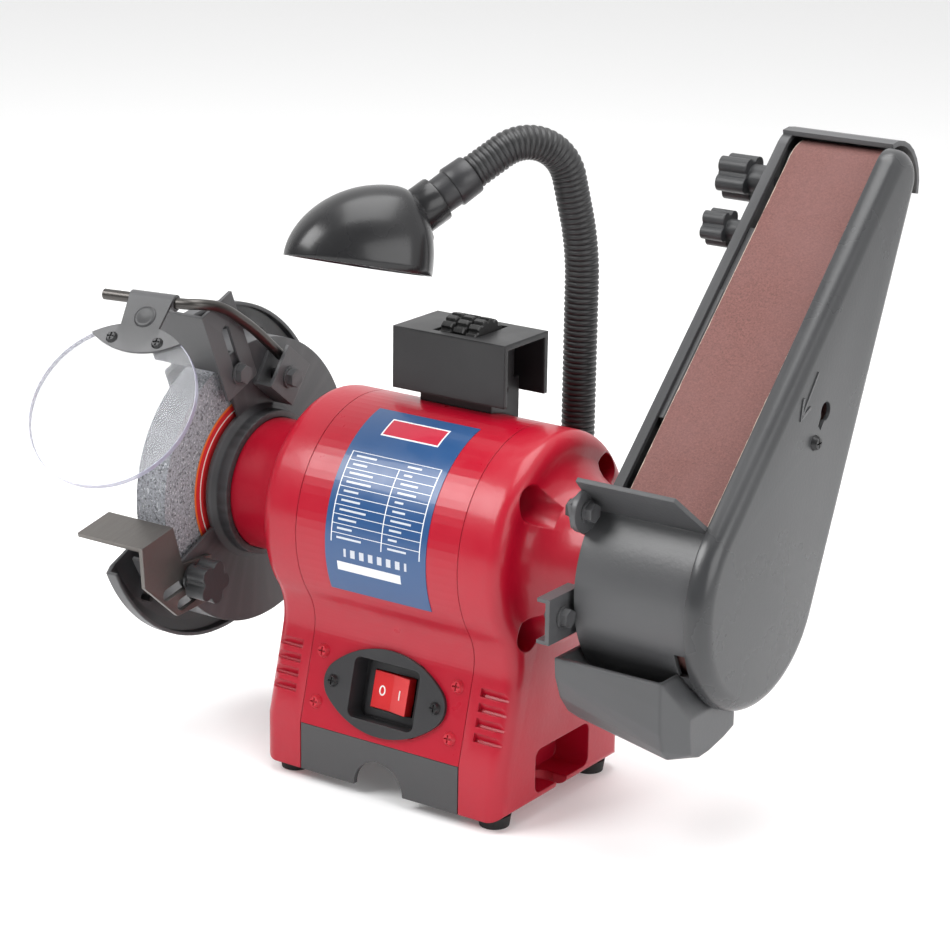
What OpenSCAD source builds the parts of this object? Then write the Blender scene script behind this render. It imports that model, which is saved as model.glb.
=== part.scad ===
// Bench grinder with a belt sanding arm, a gooseneck lamp and a wheel dresser.
// Origin: middle of the bench slots, on the underside of the base castings.
// +X runs along the spindle towards the belt, -Y faces the operator, +Z is up.

/* [Motor] */
// Height of the spindle over the underside of the base
shaft_z = 135; // [124:1:165]
// Outer radius of the motor barrel
barrel_r = 63.5; // [56:0.5:74]
// Half the length of the sheet wrap between the two end castings
wrap_half = 52; // [46:1:64]
// Depth of each end casting along the spindle
end_depth = 26; // [24:1:34]
// Length of the round boss on each end casting
boss_len = 38; // [34:1:48]
// Radius of the round boss
boss_r = 37; // [34:0.5:40]
// Radius of the hollow between barrel and base
neck_r = 30; // [24:1:36]
// Lean of the front and rear panels from upright, in degrees
panel_lean = 14.6; // [12:0.1:17]
// Wall of the sheet wrap
wrap_wall = 2; // [1.5:0.1:3]
// Wall of the end castings
cast_wall = 4; // [3:0.5:5]

/* [Base] */
// Half the depth of the base, front to back
foot_y = 60; // [56:1:70]
// Height of the upright skirt below the leaning panels
skirt_z = 27; // [24:1:30]
// Thickness of the cast floor
floor_t = 6; // [5:0.5:8]
// Radius of the bench slots
slot_r = 6; // [5:0.5:7]
// End to end length of the bench slots
slot_len = 18; // [15:1:20]
// Radius of the rubber feet
pad_r = 9; // [7:0.5:12]
// Height of the rubber feet
pad_h = 6.5; // [5:0.5:14]

/* [Grinding wheel] */
// Radius of the grinding wheel
wheel_r = 75; // [62:1:80]
// Thickness of the grinding wheel
wheel_w = 20; // [16:1:25]
// Radius of the wheel flanges
flange_r = 24; // [20:1:26]
// Radius of the spindle where the wheel sits
seat_r = 6.35; // [5:0.05:7]
// Radius of the inner guard plate
inner_guard_r = 81; // [80:1:90]
// Radius of the outer guard
outer_guard_r = 96; // [92:1:110]

/* [Belt arm] */
// Width of the sanding belt
belt_w = 50; // [40:1:60]
// Thickness of the sanding belt
belt_t = 1; // [0.8:0.1:1.4]
// Radius of the drive drum
drum_r = 50; // [44:1:52]
// Radius of the idler drum
idler_r = 20; // [16:1:24]
// Distance from the drive drum to the idler drum
arm_c = 231; // [200:1:280]
// Lean of the arm back from upright, in degrees
arm_lean = 38.5; // [30:0.5:50]
// Travel of the idler when the belt is released
release = 8; // [5:0.5:10]

/* [Controls] */
// Width of the oval switch plate
plate_w = 79; // [66:1:84]
// Height of the oval switch plate
plate_h = 47; // [44:1:52]
// Width of the rocker
rocker_w = 26; // [20:1:28]
// Height of the rocker
rocker_h = 20; // [16:1:22]
// Swing of the rocker, in degrees
rocker_swing = 16; // [12:1:20]

/* [Tool rest and shield] */
// Width of the tool rest table
rest_w = 46; // [40:1:54]
// Depth of the tool rest table
rest_d = 26; // [20:1:32]
// Thickness of the tool rest plate
rest_t = 2.5; // [2:0.5:3]
// Radius of the eye shield
shield_r = 48; // [40:1:56]
// Radius of the shield rod
rod_r = 3; // [2.5:0.5:4]

/* [Lamp] */
// Radius of the gooseneck
neck_tube_r = 9.3; // [8:0.1:10]
// Height of the upright stretch of the gooseneck
stalk_h = 114; // [90:1:140]
// Radius of the tight bend at the top
bend_r = 26; // [24:1:34]

/* [Dresser] */
// Length of the dresser's channel
dresser_l = 72; // [62:1:84]
// Width of the dresser's channel
dresser_w = 41; // [38:1:46]
// Height of the dresser's channel
dresser_h = 34; // [30:1:40]
// Radius of the dresser's toothed wheels
star_r = 15; // [12:1:16]

/* [Fits] */
// Gap between pieces that are screwed together
seam = 0.3; // [0.2:0.1:0.6]
// Radial gap of a running fit
run = 0.05; // [0.02:0.01:0.08]
// Gap kept between pieces that move past each other
free = 0.6; // [0.4:0.1:1]

/* [Hidden] */
$fn = 64;
eps = 0.01;

// Spans along the spindle
end_x = wrap_half + end_depth;
boss_x = end_x + boss_len;

// Base
floor_z = floor_t;
pad_x = end_x - pad_r - 3;
pad_y = foot_y - pad_r - 5;
slot_x = end_x - slot_len / 2;
slot_mouth = slot_r - 1;
pocket_y = 26;
pocket_z = 31;
arch_r = 16;
lean_d = foot_y * cos(panel_lean) - (shaft_z - skirt_z) * sin(panel_lean);
neck_out = lean_d + neck_r;
neck_down = sqrt(pow(barrel_r + neck_r, 2) - pow(neck_out, 2));
neck_c = [
    neck_out * cos(panel_lean) + neck_down * sin(panel_lean),
    shaft_z + neck_out * sin(panel_lean) - neck_down * cos(panel_lean)
];

// Motor insides
bore_r = 32;
core_r = barrel_r - wrap_wall - 1.2;
core_half = 24;
coil_end = 14;
tie_r = barrel_r - 13.5;
tie_head_r = 5;
tie_shank_r = 2.6;
tie_pocket_r = 9;
tie_seat = end_x - 16;
bearing_r = 20;
bearing_w = 12;
journal_r = 8.5;
core_shaft_r = 12;
bearing_x = end_x + 6;

// Wheel side, from the boss outwards
guard_x = boss_x + 14;
guard_t = 2;
flange_x = guard_x + 3;
flange_w = 5;
flange_in = flange_x - flange_w;
wheel_out = flange_x + wheel_w;
flange_out = wheel_out + 4;
nut_w = 7;
nut_r = 10.5;
spindle_left = flange_out + nut_w + 3;
guard_rim = flange_x + wheel_w + 5;
guard_dish = guard_rim + 9;
guard_bulge = spindle_left + 7;
hub_hole_r = flange_r + 4;
seat_l = 3;
guard_seat = boss_x + seat_l;
collar_out = boss_r + 4;
collar_flare = 3;
band_r = inner_guard_r - guard_t;
open_low = 204;
open_high = 113;

// Arm side, from the boss outwards
spigot_r = 30;
frame_in = boss_x + free;
frame_x = boss_x + 3;
frame_t = 3;
frame_out = frame_x + frame_t;
belt_x = frame_out + 6.7;
drum_w = belt_w + 2;
drum_x = belt_x - 1;
cover_x = belt_x + belt_w + 5.3;
cover_d = 12;
cover_t = 2.5;
drum_seat_r = 8;
spindle_right = drum_x + drum_w + 9;
taper = asin((drum_r - idler_r) / arm_c);
run_gap = 0.3;
arm_low_r = drum_r + 10;
arm_top = [arm_c - 1, 16, 16];
frame_top = [arm_c + 6, 3, 19];
shell_in = drum_r + belt_t + 4;
shell_t = 2.5;
shell_out = shell_in + shell_t;
rest_a = 134;
ledge = 28;
tray_front = shell_out + 8.5;
tray_deep = shell_out + 18.5;
tray_notch = 8;
tray_step = 22;
tray_x = boss_x - 2;
tray_t = 2.5;
yoke_t = 3;
yoke_x = frame_out + free / 2;
axle_r = 4;
tension_at = [arm_c - 10, 13];
tracking_at = [arm_c - 45, 22];

// Lamp: the stalk bends in one upright plane that points to the front left
stalk_at = [36, 73.4];
stalk_turn = 237;
stalk_z = shaft_z + 10;
sweep_r = 170;
sweep_a = 13;
bend_a = 122;
stalk_run = 20;
sleeve_l = 22;
collar_l = 15;
ring_l = 5;
shade_l = 77;
shade_half = 32;

// Dresser
dresser_y = 21;
dresser_wall = 3;
dresser_in = dresser_y - dresser_w / 2 + dresser_wall;
dresser_top = shaft_z + barrel_r + 40;
stand_w = 26;
stand_l = 46;
star_w = 7;
star_x = 8.5;

// Places and sizes of single pieces
panel_z = 53.3;
recess_w = 47;
recess_h = 37;
recess_corner = 6;
plate_end_r = 13;
label_half = 32.5;
recess_d = 11;
cap_r = 14;
cap_y = 24;
gland_x = -30;
gland_z = 9;
post_r = 84;
label_r = 50;
label_t = 0.4;
arrestor_at = [-19, 66];
arrestor_lean = 23;
arrestor_x = guard_x - guard_t - 0.1;
arrestor_l = 54;
arrestor_face = 46;
bracket_at = [12, 59];
bracket_turn = -38;
bracket_x = guard_x - guard_t - 0.1;
knuckle = 0.15;
rod_mid = [-boss_x - 34, -60.5, shaft_z + 111.5];
rod_skew = 10;
rod_dir = [cos(rod_skew), sin(rod_skew), 0];
rod_end_x = -bracket_x + 6.5;
rod_path = [
    rod_mid - 31 * rod_dir,
    rod_mid + 19 * rod_dir,
    [rod_end_x - 4, -52, shaft_z + 111.5],
    [rod_end_x, -38, shaft_z + 108],
    [rod_end_x, -12, shaft_z + 91],
    [rod_end_x, bracket_at[0] + 3, shaft_z + bracket_at[1] + 9]
];
shield_lean = 42;
shield_drop = 65;
clip_t = 1.5;
clip_w = 27;
clip_neck = 23;
rest_lean = 12;
rest_at = [-wheel_r - 2.4, -7.5];
rest_x = guard_x - guard_t - seam;
rest_bolt = [8, -35];
frame_r = drum_r + 2;
cap_in = idler_r + belt_t + 3.5;
cap_out = cap_in + 2.5;
post_at = [82.5, 8.8];
post_y = post_at[0] * sin(arm_lean) - post_at[1] * cos(arm_lean);
post_z = shaft_z + post_at[0] * cos(arm_lean) + post_at[1] * sin(arm_lean);
lug_u = arm_c - 61 - release;
ear_bolt = [-52, 44];
ear_r = 11;
ledge_cut = 9;
notch_a = 199;
notch_l = 15;
platen_u = 62;
platen_l = 120;
spring_turns = 8;
bracket_y = [-74, -46];
tray_bolt = [-62, -10];
tray_top = -31;
// Shares of the tray's reach and depth, from the front lip down and back
tray_left = [[-1, -0.42], [-0.985, -0.55], [-0.91, -0.71], [-0.79, -0.84], [-0.64, -0.93], [-0.45, -0.985],
    [-0.23, -1], [0, -0.97], [0.15, -0.92]];
tray_right = [[-1, -0.42], [-1, -0.58], [-0.985, -0.76], [-0.94, -0.89], [-0.86, -0.97], [-0.7, -1],
    [-0.45, -0.995], [-0.2, -0.97]];
tray_rear = [[-0.75, -0.8], [-0.72, -0.95], [-0.6, -1], [-0.45, -0.995], [-0.23, -0.96], [-0.08, -0.92]];
sweep_end = [sweep_r * (1 - cos(sweep_a)), stalk_h + sweep_r * sin(sweep_a)];
bend_start = sweep_end + stalk_run * [sin(sweep_a), cos(sweep_a)];
bend_c = bend_start + bend_r * [cos(sweep_a), -sin(sweep_a)];
bend_end = bend_c + bend_r * [-cos(bend_a), sin(bend_a)];
head_dir = [sin(bend_a), cos(bend_a)];
tail_l = 24;
sleeve_at = bend_end + tail_l * head_dir;
stalk_path = [for (q = concat(
    [[0, 0]],
    arc([sweep_r, stalk_h], sweep_r, 180, 180 - sweep_a, 4),
    arc(bend_c, bend_r, 180 - sweep_a, 180 - bend_a, 12),
    [sleeve_at]
)) [q[0], 0, q[1]]];
ring_at = sleeve_at + (sleeve_l - 4 + collar_l) * head_dir;
shade_rise = 12.7;
shade_roll = 13.9;
shade_down = 31;
collar_hole_r = 13;
star_z = dresser_top - 8;
cheek_x = 1.5 * star_x + 1.2;
post_angles = [60, -20, 227];

// ------------------------------------------------------------------ placing

// Draws a y-z outline and gives it a length along X from x0 to x1
module along_x(x0, x1) {
    translate([x0, 0, 0]) rotate([90, 0, 90]) linear_extrude(x1 - x0) children();
}

// A round bar along X from x0 to x1 at height z and depth y
module bar_x(x0, x1, r, y = 0, z = shaft_z) {
    translate([x0, y, z]) rotate([0, 90, 0]) cylinder(r = r, h = x1 - x0);
}

// A hexagon along X from x0 to x1
module hex_x(x0, x1, r, y = 0, z = shaft_z) {
    translate([x0, y, z]) rotate([0, 90, 0]) cylinder(r = r, h = x1 - x0, $fn = 6);
}

// The front panel's own plane: x across, y up the slope, z straight out of it
module on_panel() {
    translate([0, -foot_y + (panel_z - skirt_z) * tan(panel_lean), panel_z]) rotate([90 - panel_lean, 0, 0])
        children();
}

// The arm's own plane: first axis up the arm, second towards the belt's working side
module in_arm(x0, x1) {
    translate([x0, 0, shaft_z]) rotate([90, 0, 90]) linear_extrude(x1 - x0)
        rotate(90 - arm_lean) children();
}

// Puts a shape drawn along +X at a place in the arm's plane
module at_arm(p, x = 0) {
    translate([x, p[0] * sin(arm_lean) - p[1] * cos(arm_lean),
        shaft_z + p[0] * cos(arm_lean) + p[1] * sin(arm_lean)]) children();
}

// ------------------------------------------------------------------ outlines

// Points on an arc from angle a0 to a1
function arc(c, r, a0, a1, steps) = [for (i = [0:steps]) let (a = a0 + (a1 - a0) * i / steps)
    [c[0] + r * cos(a), c[1] + r * sin(a)]];

// Half of the cross-section of motor and base, drawn inwards by the inset i
function body_side(i) =
    let (knee = shaft_z + ((lean_d - i) - cos(panel_lean) * (foot_y - i)) / sin(panel_lean))
    let (away = atan2(neck_c[1] - shaft_z, neck_c[0]))
    concat(
        [[foot_y - i, 0], [foot_y - i, knee]],
        arc(neck_c, neck_r + i, 180 + panel_lean, 180 + away, 12),
        arc([0, shaft_z], barrel_r - i, away + 3, 90, 30)
    );

module body_outline(i = 0) {
    side = body_side(i);
    n = len(side);
    polygon(concat(side, [for (k = [2:n]) [-side[n - k][0], side[n - k][1]]]));
}

// A pie slice from angle a0 to a1, measured from +Y towards +Z
module slice(r, a0, a1) {
    steps = 8;
    polygon(concat([[0, 0]], [for (i = [0:steps]) let (a = a0 + (a1 - a0) * i / steps) 
        r * [cos(a), sin(a)] / cos((a1 - a0) / steps / 2)]));
}

// A slot with round ends along the first axis
module slot_2d(l, r) {
    translate([-(l / 2 - r), 0]) circle(r);
    translate([l / 2 - r, 0]) circle(r);
    square([l - 2 * r, 2 * r], center = true);
}

// A rectangle with round corners
module round_rect(w, h, r) {
    square([w - 2 * r, h], center = true);
    square([w, h - 2 * r], center = true);
    for (x = [-1, 1], y = [-1, 1]) translate([x * (w / 2 - r), y * (h / 2 - r)]) circle(r);
}

// Two circles and the tangents between them: each is [u, v, r]
module arm_outline(low, top) {
    turn = atan2(top[1] - low[1], top[0] - low[0]);
    a = acos((low[2] - top[2]) / norm([top[0] - low[0], top[1] - low[1]]));
    polygon(concat(
        arc(low, low[2], turn + a, turn + 360 - a, 60),
        arc(top, top[2], turn - a, turn + a, 36)
    ));
}

// ------------------------------------------------------------------ fasteners

// Pan head screw along +Z: the head stands on z = 0 and the shank goes down
module pan_screw(r, l, head_r, head_h) {
    difference() {
        cylinder(r1 = head_r, r2 = head_r * 0.7, h = head_h);
        for (a = [0, 90]) rotate(a) translate([0, 0, head_h])
            cube([head_r * 1.2, 0.8, head_h], center = true);
    }
    translate([0, 0, -l]) cylinder(r = r, h = l);
}

// Hex bolt along +X: the washer lies against x = 0, the head stands beyond, the shank goes back
module hex_bolt(r, l, head_r, nut_at) {
    rotate([0, 90, 0]) cylinder(r = head_r * 1.15, h = 1.2);
    translate([1.2, 0, 0]) rotate([0, 90, 0]) cylinder(r = head_r, h = 4, $fn = 6);
    translate([-l, 0, 0]) rotate([0, 90, 0]) cylinder(r = r, h = l);
    if (nut_at > 0) translate([-nut_at - 4, 0, 0]) rotate([0, 90, 0]) cylinder(r = head_r, h = 4, $fn = 6);
}

// Lobed hand knob along +X, standing on x = 0
module lobed_knob(r, h, lobes, collar_r, collar_h) {
    rotate([0, 90, 0]) {
        cylinder(r = collar_r, h = collar_h);
        translate([0, 0, collar_h]) {
            cylinder(r = r * 0.72, h = h);
            for (i = [0:lobes - 1]) rotate(i * 360 / lobes) translate([r * 0.62, 0, 0])
                cylinder(r = r * 0.36, h = h);
        }
    }
}

// ------------------------------------------------------------------ motor

// Sheet wrap round the motor: skirt cut away for the base panel, holes for switch and screws
module motor_wrap() color([0.77, 0.07, 0.18]) difference() {
    along_x(-wrap_half, wrap_half) difference() {
        body_outline();
        body_outline(wrap_wall);
        translate([0, skirt_z / 2]) square([3 * foot_y, skirt_z + 2 * eps], center = true);
    }
    on_panel() translate([0, 0, -wrap_wall * 2]) linear_extrude(wrap_wall * 4)
        round_rect(recess_w + 3, recess_h + 3, recess_corner + 1);
    panel_screw_places() cylinder(r = 1.8, h = 12, center = true);
    switch_screw_places() cylinder(r = 1.8, h = 12, center = true);
}

module panel_screw_places() {
    for (x = [-1, 1], y = [-14, 14]) on_panel() translate([x * (wrap_half - 8), y, 0]) children();
}

module switch_screw_places() {
    for (x = [-1, 1]) on_panel() translate([x * (plate_w / 2 - 6), 0, 0]) children();
}

// One end casting, drawn for the right end: shell, floor, bolt pocket, boss and bearing seat
module end_casting() {
    difference() {
        union() {
            along_x(wrap_half + seam, end_x) body_outline();
            bar_x(end_x - 1, boss_x, boss_r);
        }
        difference() {
            along_x(wrap_half, end_x - cast_wall) difference() {
                body_outline(cast_wall);
                square([3 * foot_y, 2 * floor_z], center = true);
            }
            bar_x(wrap_half, end_x, bearing_r + 6);
            for (a = [45:90:315]) tie_place(a) bar_x(tie_seat - 6, end_x, tie_pocket_r + 2.5, 0, 0);
            pocket_walls();
        }
        bar_x(wrap_half - 1, bearing_x + bearing_w, bearing_r);
        bar_x(wrap_half - 1, boss_x + 20, core_shaft_r + 2);
        for (a = [45:90:315]) tie_place(a) {
            bar_x(tie_seat, end_x + 1, tie_pocket_r, 0, 0);
            bar_x(wrap_half, end_x, tie_shank_r + seam, 0, 0);
        }
        pocket_cut();
        translate([slot_x, 0, -eps]) linear_extrude(floor_z + 1) slot_2d(slot_len, slot_r);
        translate([slot_x, -slot_mouth, -eps]) cube([slot_len, 2 * slot_mouth, floor_z + 1]);
        for (y = [-pad_y, pad_y]) translate([pad_x, y, -eps]) cylinder(r = 2.6, h = floor_z + 1);
        for (i = [0:3]) on_panel() translate([wrap_half + 6, i * 8 - 12, -2]) cube([end_depth, 4.5, 8]);
    }
}

module tie_place(a) {
    translate([0, tie_r * cos(a), shaft_z + tie_r * sin(a)]) children();
}

module pocket_cut() {
    along_x(end_x - slot_len - 3, end_x + 1) translate([0, (pocket_z + floor_z) / 2])
        round_rect(2 * pocket_y, pocket_z - floor_z, 5);
}

module pocket_walls() {
    along_x(end_x - slot_len - 6, end_x) translate([0, pocket_z / 2])
        square([2 * pocket_y + 6, pocket_z + 6], center = true);
}

// The left casting's boss runs on a little, as the seat of the inner guard
module left_end_casting() color([0.77, 0.07, 0.18]) mirror([1, 0, 0]) {
    end_casting();
    difference() {
        bar_x(boss_x - 1, guard_seat, boss_r);
        bar_x(boss_x - 2, guard_seat + 1, core_shaft_r + 2);
    }
}

// The right casting carries the spigot that the belt arm turns on
module right_end_casting() color([0.77, 0.07, 0.18]) {
    end_casting();
    difference() {
        bar_x(boss_x - 1, frame_out + 1, spigot_r);
        bar_x(boss_x - 2, frame_out + 2, core_shaft_r + 2);
    }
}

// Dark moulded base between the castings: front and rear skirts with arches, and a floor
module base_panel() color([0.3, 0.3, 0.31]) difference() {
    union() {
        for (side = [-1, 1]) translate([-wrap_half + seam, side * (foot_y - 1.5) - 1.5, 0])
            cube([2 * (wrap_half - seam), 3, skirt_z - seam]);
        translate([-wrap_half + seam, -foot_y + 2, arch_r + 1])
            cube([2 * (wrap_half - seam), 2 * foot_y - 4, 3]);
    }
    translate([0, -foot_y - 1, 0]) rotate([-90, 0, 0]) cylinder(r = arch_r, h = 2 * foot_y + 2);
}

module rubber_feet() color([0.1, 0.1, 0.1]) foot_places() difference() {
    translate([0, 0, -pad_h]) cylinder(r1 = pad_r - 1, r2 = pad_r, h = pad_h);
    translate([0, 0, -pad_h - 1]) cylinder(r = 5, h = pad_h - 1);
    translate([0, 0, -pad_h - 1]) cylinder(r = 2.6, h = pad_h + 2);
}

module foot_places() {
    for (x = [-pad_x, pad_x], y = [-pad_y, pad_y]) translate([x, y, 0]) children();
}

module foot_screws() color("silver") foot_places() {
    translate([0, 0, -2]) cylinder(r = 2.4, h = floor_z + 2);
    translate([0, 0, -5]) cylinder(r = 4.2, h = 3);
    translate([0, 0, floor_z]) cylinder(r = 4.5, h = 4, $fn = 6);
}

// Printed sheet on the barrel
module data_label() color([0.12, 0.29, 0.49]) translate([-label_half, 0, shaft_z]) rotate([90, 0, 90])
    linear_extrude(2 * label_half) difference() {
        circle(barrel_r + 0.3, $fn = 96);
        circle(barrel_r, $fn = 96);
        rotate(205) slice(2 * barrel_r, 0, 259);
    }

module panel_screws() color([0.77, 0.07, 0.18]) panel_screw_places() pan_screw(1.6, 8, 3.8, 2.2);

// Oval plate with a deep recess that the switch sits in
module switch_plate() color([0.2, 0.2, 0.21]) on_panel() difference() {
    union() {
        linear_extrude(2.2) oval(plate_w, plate_h);
        translate([0, 0, -recess_d - 2]) linear_extrude(recess_d + 2)
            round_rect(recess_w, recess_h, recess_corner);
    }
    translate([0, 0, -recess_d]) linear_extrude(recess_d + 5)
        round_rect(recess_w - 4, recess_h - 4, recess_corner - 2);
    translate([0, 0, -recess_d - 3]) linear_extrude(recess_d + 5)
        square([rocker_w + 4 + 2 * seam, rocker_h + 4 + 2 * seam], center = true);
    for (x = [-1, 1]) translate([x * (plate_w / 2 - 6), 0, -5]) cylinder(r = 1.8, h = 12);
}

// Oval of four arcs: two round ends and two wide arcs that meet them smoothly
module oval(w, h) {
    end_c = w / 2 - plate_end_r;
    wide_r = (end_c * end_c + h * h / 4 - plate_end_r * plate_end_r) / (h - 2 * plate_end_r);
    wide_c = wide_r - h / 2;
    meet = atan2(wide_c, end_c);
    polygon(concat(
        arc([end_c, 0], plate_end_r, -meet, meet, 16),
        arc([0, -wide_c], wide_r, meet, 180 - meet, 40),
        arc([-end_c, 0], plate_end_r, 180 - meet, 180 + meet, 16),
        arc([0, wide_c], wide_r, 180 + meet, 360 - meet, 40)
    ));
}

// Switch housing with its bezel standing in the recess
module switch_body() color([0.15, 0.15, 0.16]) on_panel() difference() {
    union() {
        translate([0, 0, -recess_d - 24]) linear_extrude(27)
            square([rocker_w + 4, rocker_h + 4], center = true);
        translate([0, 0, -recess_d]) linear_extrude(3) round_rect(rocker_w + 9, rocker_h + 9, 2);
    }
    translate([0, 0, -recess_d - 14]) linear_extrude(20)
        square([rocker_w + 2 * free, rocker_h + 2 * free], center = true);
    for (y = [-1, 1]) translate([0, y * (rocker_h / 2 + 1), -recess_d]) rotate([90, 0, 0])
        cylinder(r = 1.5 + run, h = 2, center = true);
}

module switch_screws() color([0.15, 0.15, 0.15]) switch_screw_places() translate([0, 0, 2.2])
    pan_screw(1.6, 9, 3.4, 2);

// Rocker: two faces that meet over the pivot, tilted to the off position
module rocker() color([0.85, 0.1, 0.08]) on_panel() translate([0, 0, -recess_d]) rotate([90, 0, 0])
    rotate(rocker_swing / 2) {
        translate([0, 0, -rocker_h / 2]) linear_extrude(rocker_h)
            polygon([[-rocker_w / 2 + 1, 0], [-rocker_w / 2 + 0.5, 6], [0, 4.5], [rocker_w / 2 - 0.5, 6],
                [rocker_w / 2 - 1, 0], [0, -5]]);
        for (y = [-1, 1]) translate([0, 0, y * (rocker_h / 2 + 0.7)])
            cylinder(r = 1.5, h = 1.6, center = true);
    }

module tie_bolts() color("silver") for (a = [45:90:315]) tie_place(a) {
    bar_x(-tie_seat, tie_seat, tie_shank_r, 0, 0);
    for (x = [-tie_seat - 4, tie_seat]) hex_x(x, x + 4, tie_head_r, 0, 0);
}

module stator() color([0.45, 0.45, 0.47]) difference() {
    bar_x(-core_half, core_half, core_r);
    bar_x(-core_half - 1, core_half + 1, bore_r);
    for (a = [45:90:315]) tie_place(a) bar_x(-core_half - 1, core_half + 1, tie_shank_r + seam, 0, 0);
}

module windings() color([0.72, 0.4, 0.2]) for (x = [-core_half - coil_end, core_half]) difference() {
    bar_x(x, x + coil_end, tie_r - tie_shank_r - 1.5);
    bar_x(x - 1, x + coil_end + 1, bore_r + 2);
}

module capacitor() color([0.2, 0.2, 0.22]) bar_x(-core_half, core_half, cap_r, cap_y, arch_r + 4 + cap_r);

module rotor() color([0.6, 0.6, 0.62]) difference() {
    bar_x(-core_half, core_half, bore_r - 0.5);
    bar_x(-core_half - 1, core_half + 1, core_shaft_r);
}

// One-piece spindle, stepped for rotor, bearings, wheel and drum
module spindle() color("silver") {
    bar_x(-bearing_x, bearing_x, core_shaft_r);
    bar_x(-flange_in, -bearing_x, journal_r);
    bar_x(-spindle_left, -flange_in, seat_r);
    bar_x(bearing_x, drum_x, journal_r);
    bar_x(drum_x, spindle_right, drum_seat_r - 0.5);
}

module bearing() {
    difference() {
        bar_x(bearing_x, bearing_x + bearing_w, bearing_r);
        bar_x(bearing_x - 1, bearing_x + bearing_w + 1, journal_r + run);
        for (x = [bearing_x - 1, bearing_x + bearing_w - 1]) difference() {
            bar_x(x, x + 2, bearing_r - 3);
            bar_x(x - 1, x + 3, journal_r + 3);
        }
    }
}

module bearings() color("silver") {
    bearing();
    mirror([1, 0, 0]) bearing();
}

// Screwed cable gland low in the rear skirt
module cable_gland() color([0.1, 0.1, 0.1]) translate([gland_x, foot_y + eps, gland_z]) rotate([-90, 0, 0])
    difference() {
        union() {
            cylinder(r = 8, h = 5, $fn = 6);
            cylinder(r1 = 7, r2 = 5, h = 12);
        }
        translate([0, 0, 2]) cylinder(r = 3.2, h = 11);
    }

// ------------------------------------------------------------------ grinding side

// Inner guard: plate, rolled collar over the boss, and the band round the wheel
module inner_guard() color([0.2, 0.2, 0.21]) mirror([1, 0, 0]) difference() {
    union() {
        bar_x(guard_x - guard_t, guard_x, inner_guard_r);
        bar_x(guard_seat - 1, guard_x - guard_t, collar_out);
        translate([guard_x - guard_t - collar_flare, 0, shaft_z]) rotate([0, 90, 0])
            cylinder(r1 = collar_out, r2 = collar_out + collar_flare, h = collar_flare);
        difference() {
            bar_x(guard_x - guard_t, guard_rim, inner_guard_r);
            bar_x(guard_x - guard_t - 1, guard_rim + 1, band_r);
        }
    }
    bar_x(guard_seat - 2, guard_seat + seam, boss_r + seam);
    bar_x(boss_x - 4, guard_rim, hub_hole_r);
    difference() {
        along_x(guard_x - guard_t - 1, guard_rim + 1) translate([0, shaft_z]) guard_mouth();
        bar_x(guard_seat - 2, guard_x + 1, collar_out + collar_flare);
    }
    along_x(guard_x, guard_rim + 1) translate([0, shaft_z]) slice(2 * inner_guard_r, open_high - 8, open_low);
    tool_rest_bolt_place() bar_x(guard_x - 3, guard_x + 1, 3, 0, 0);
}

// Open front of the guards, between the upper and the lower edge
module guard_mouth() {
    slice(2 * outer_guard_r, open_high, open_low);
}

// Outer guard: a dish with a rolled lip, open at the front
module outer_guard() color([0.17, 0.17, 0.18]) mirror([1, 0, 0]) difference() {
    union() {
        dish(outer_guard_r, 0);
        for (a = post_angles) guard_post(a, 4.5);
    }
    intersection() {
        dish(outer_guard_r - 2, -guard_t);
        bar_x(guard_rim - 1, guard_bulge - guard_t, outer_guard_r);
    }
    difference() {
        along_x(guard_rim - 30, guard_bulge + 1) translate([0, shaft_z]) guard_mouth();
        bar_x(guard_dish, guard_bulge + 1, 20);
    }
    for (a = post_angles) guard_post(a, 2);
}

// The dish's outside, as steps of straight and sloped rings, moved along X by dx
module dish(r, dx) {
    translate([dx, 0, shaft_z]) rotate([0, 90, 0]) rotate_extrude($fn = 96)
        polygon([[0, guard_rim], [r, guard_rim], [r, guard_dish - 2], [r - 6, guard_dish],
            [r - 24, guard_dish], [r - 30, guard_bulge], [0, guard_bulge]]);
}

module guard_post(a, r) {
    bar_x(guard_rim, guard_dish, r, post_r * cos(a), shaft_z + post_r * sin(a));
}

// Screws through the outer guard, and the three that hold the inner guard on the boss
module guard_screws() color([0.15, 0.15, 0.15]) {
    for (a = post_angles) translate([-guard_dish, post_r * cos(a), shaft_z + post_r * sin(a)])
        rotate([0, -90, 0]) pan_screw(1.8, 8, 4, 2.4);
    for (a = [30, 150, 270]) translate([-guard_x, 32 * cos(a), shaft_z + 32 * sin(a)])
        rotate([0, -90, 0]) cylinder(r = 3, h = 2);
}

module wheel_flanges() color([0.5, 0.5, 0.52]) mirror([1, 0, 0]) difference() {
    union() {
        bar_x(flange_in, flange_x, flange_r);
        bar_x(wheel_out, flange_out, flange_r);
    }
    bar_x(flange_in - 1, flange_out + 1, seat_r + run);
}

module grinding_wheel() color([0.5, 0.52, 0.54]) mirror([1, 0, 0]) difference() {
    bar_x(flange_x, wheel_out, wheel_r);
    bar_x(flange_x - 1, wheel_out + 1, seat_r + run);
    for (x = [flange_x - 1, wheel_out - label_t]) bar_x(x, x + 1 + label_t, label_r);
}

// Paper washers between the wheel and its flanges
module wheel_labels() color([0.85, 0.1, 0.1]) mirror([1, 0, 0]) difference() {
    union() {
        bar_x(flange_x, flange_x + label_t, label_r - 0.1);
        bar_x(wheel_out - label_t, wheel_out, label_r - 0.1);
    }
    bar_x(flange_x - 1, wheel_out + 1, seat_r + run);
}

module wheel_nut() color("silver") mirror([1, 0, 0]) difference() {
    hex_x(flange_out, flange_out + nut_w, nut_r);
    bar_x(flange_out - 1, flange_out + nut_w + 1, seat_r + run);
}

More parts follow.
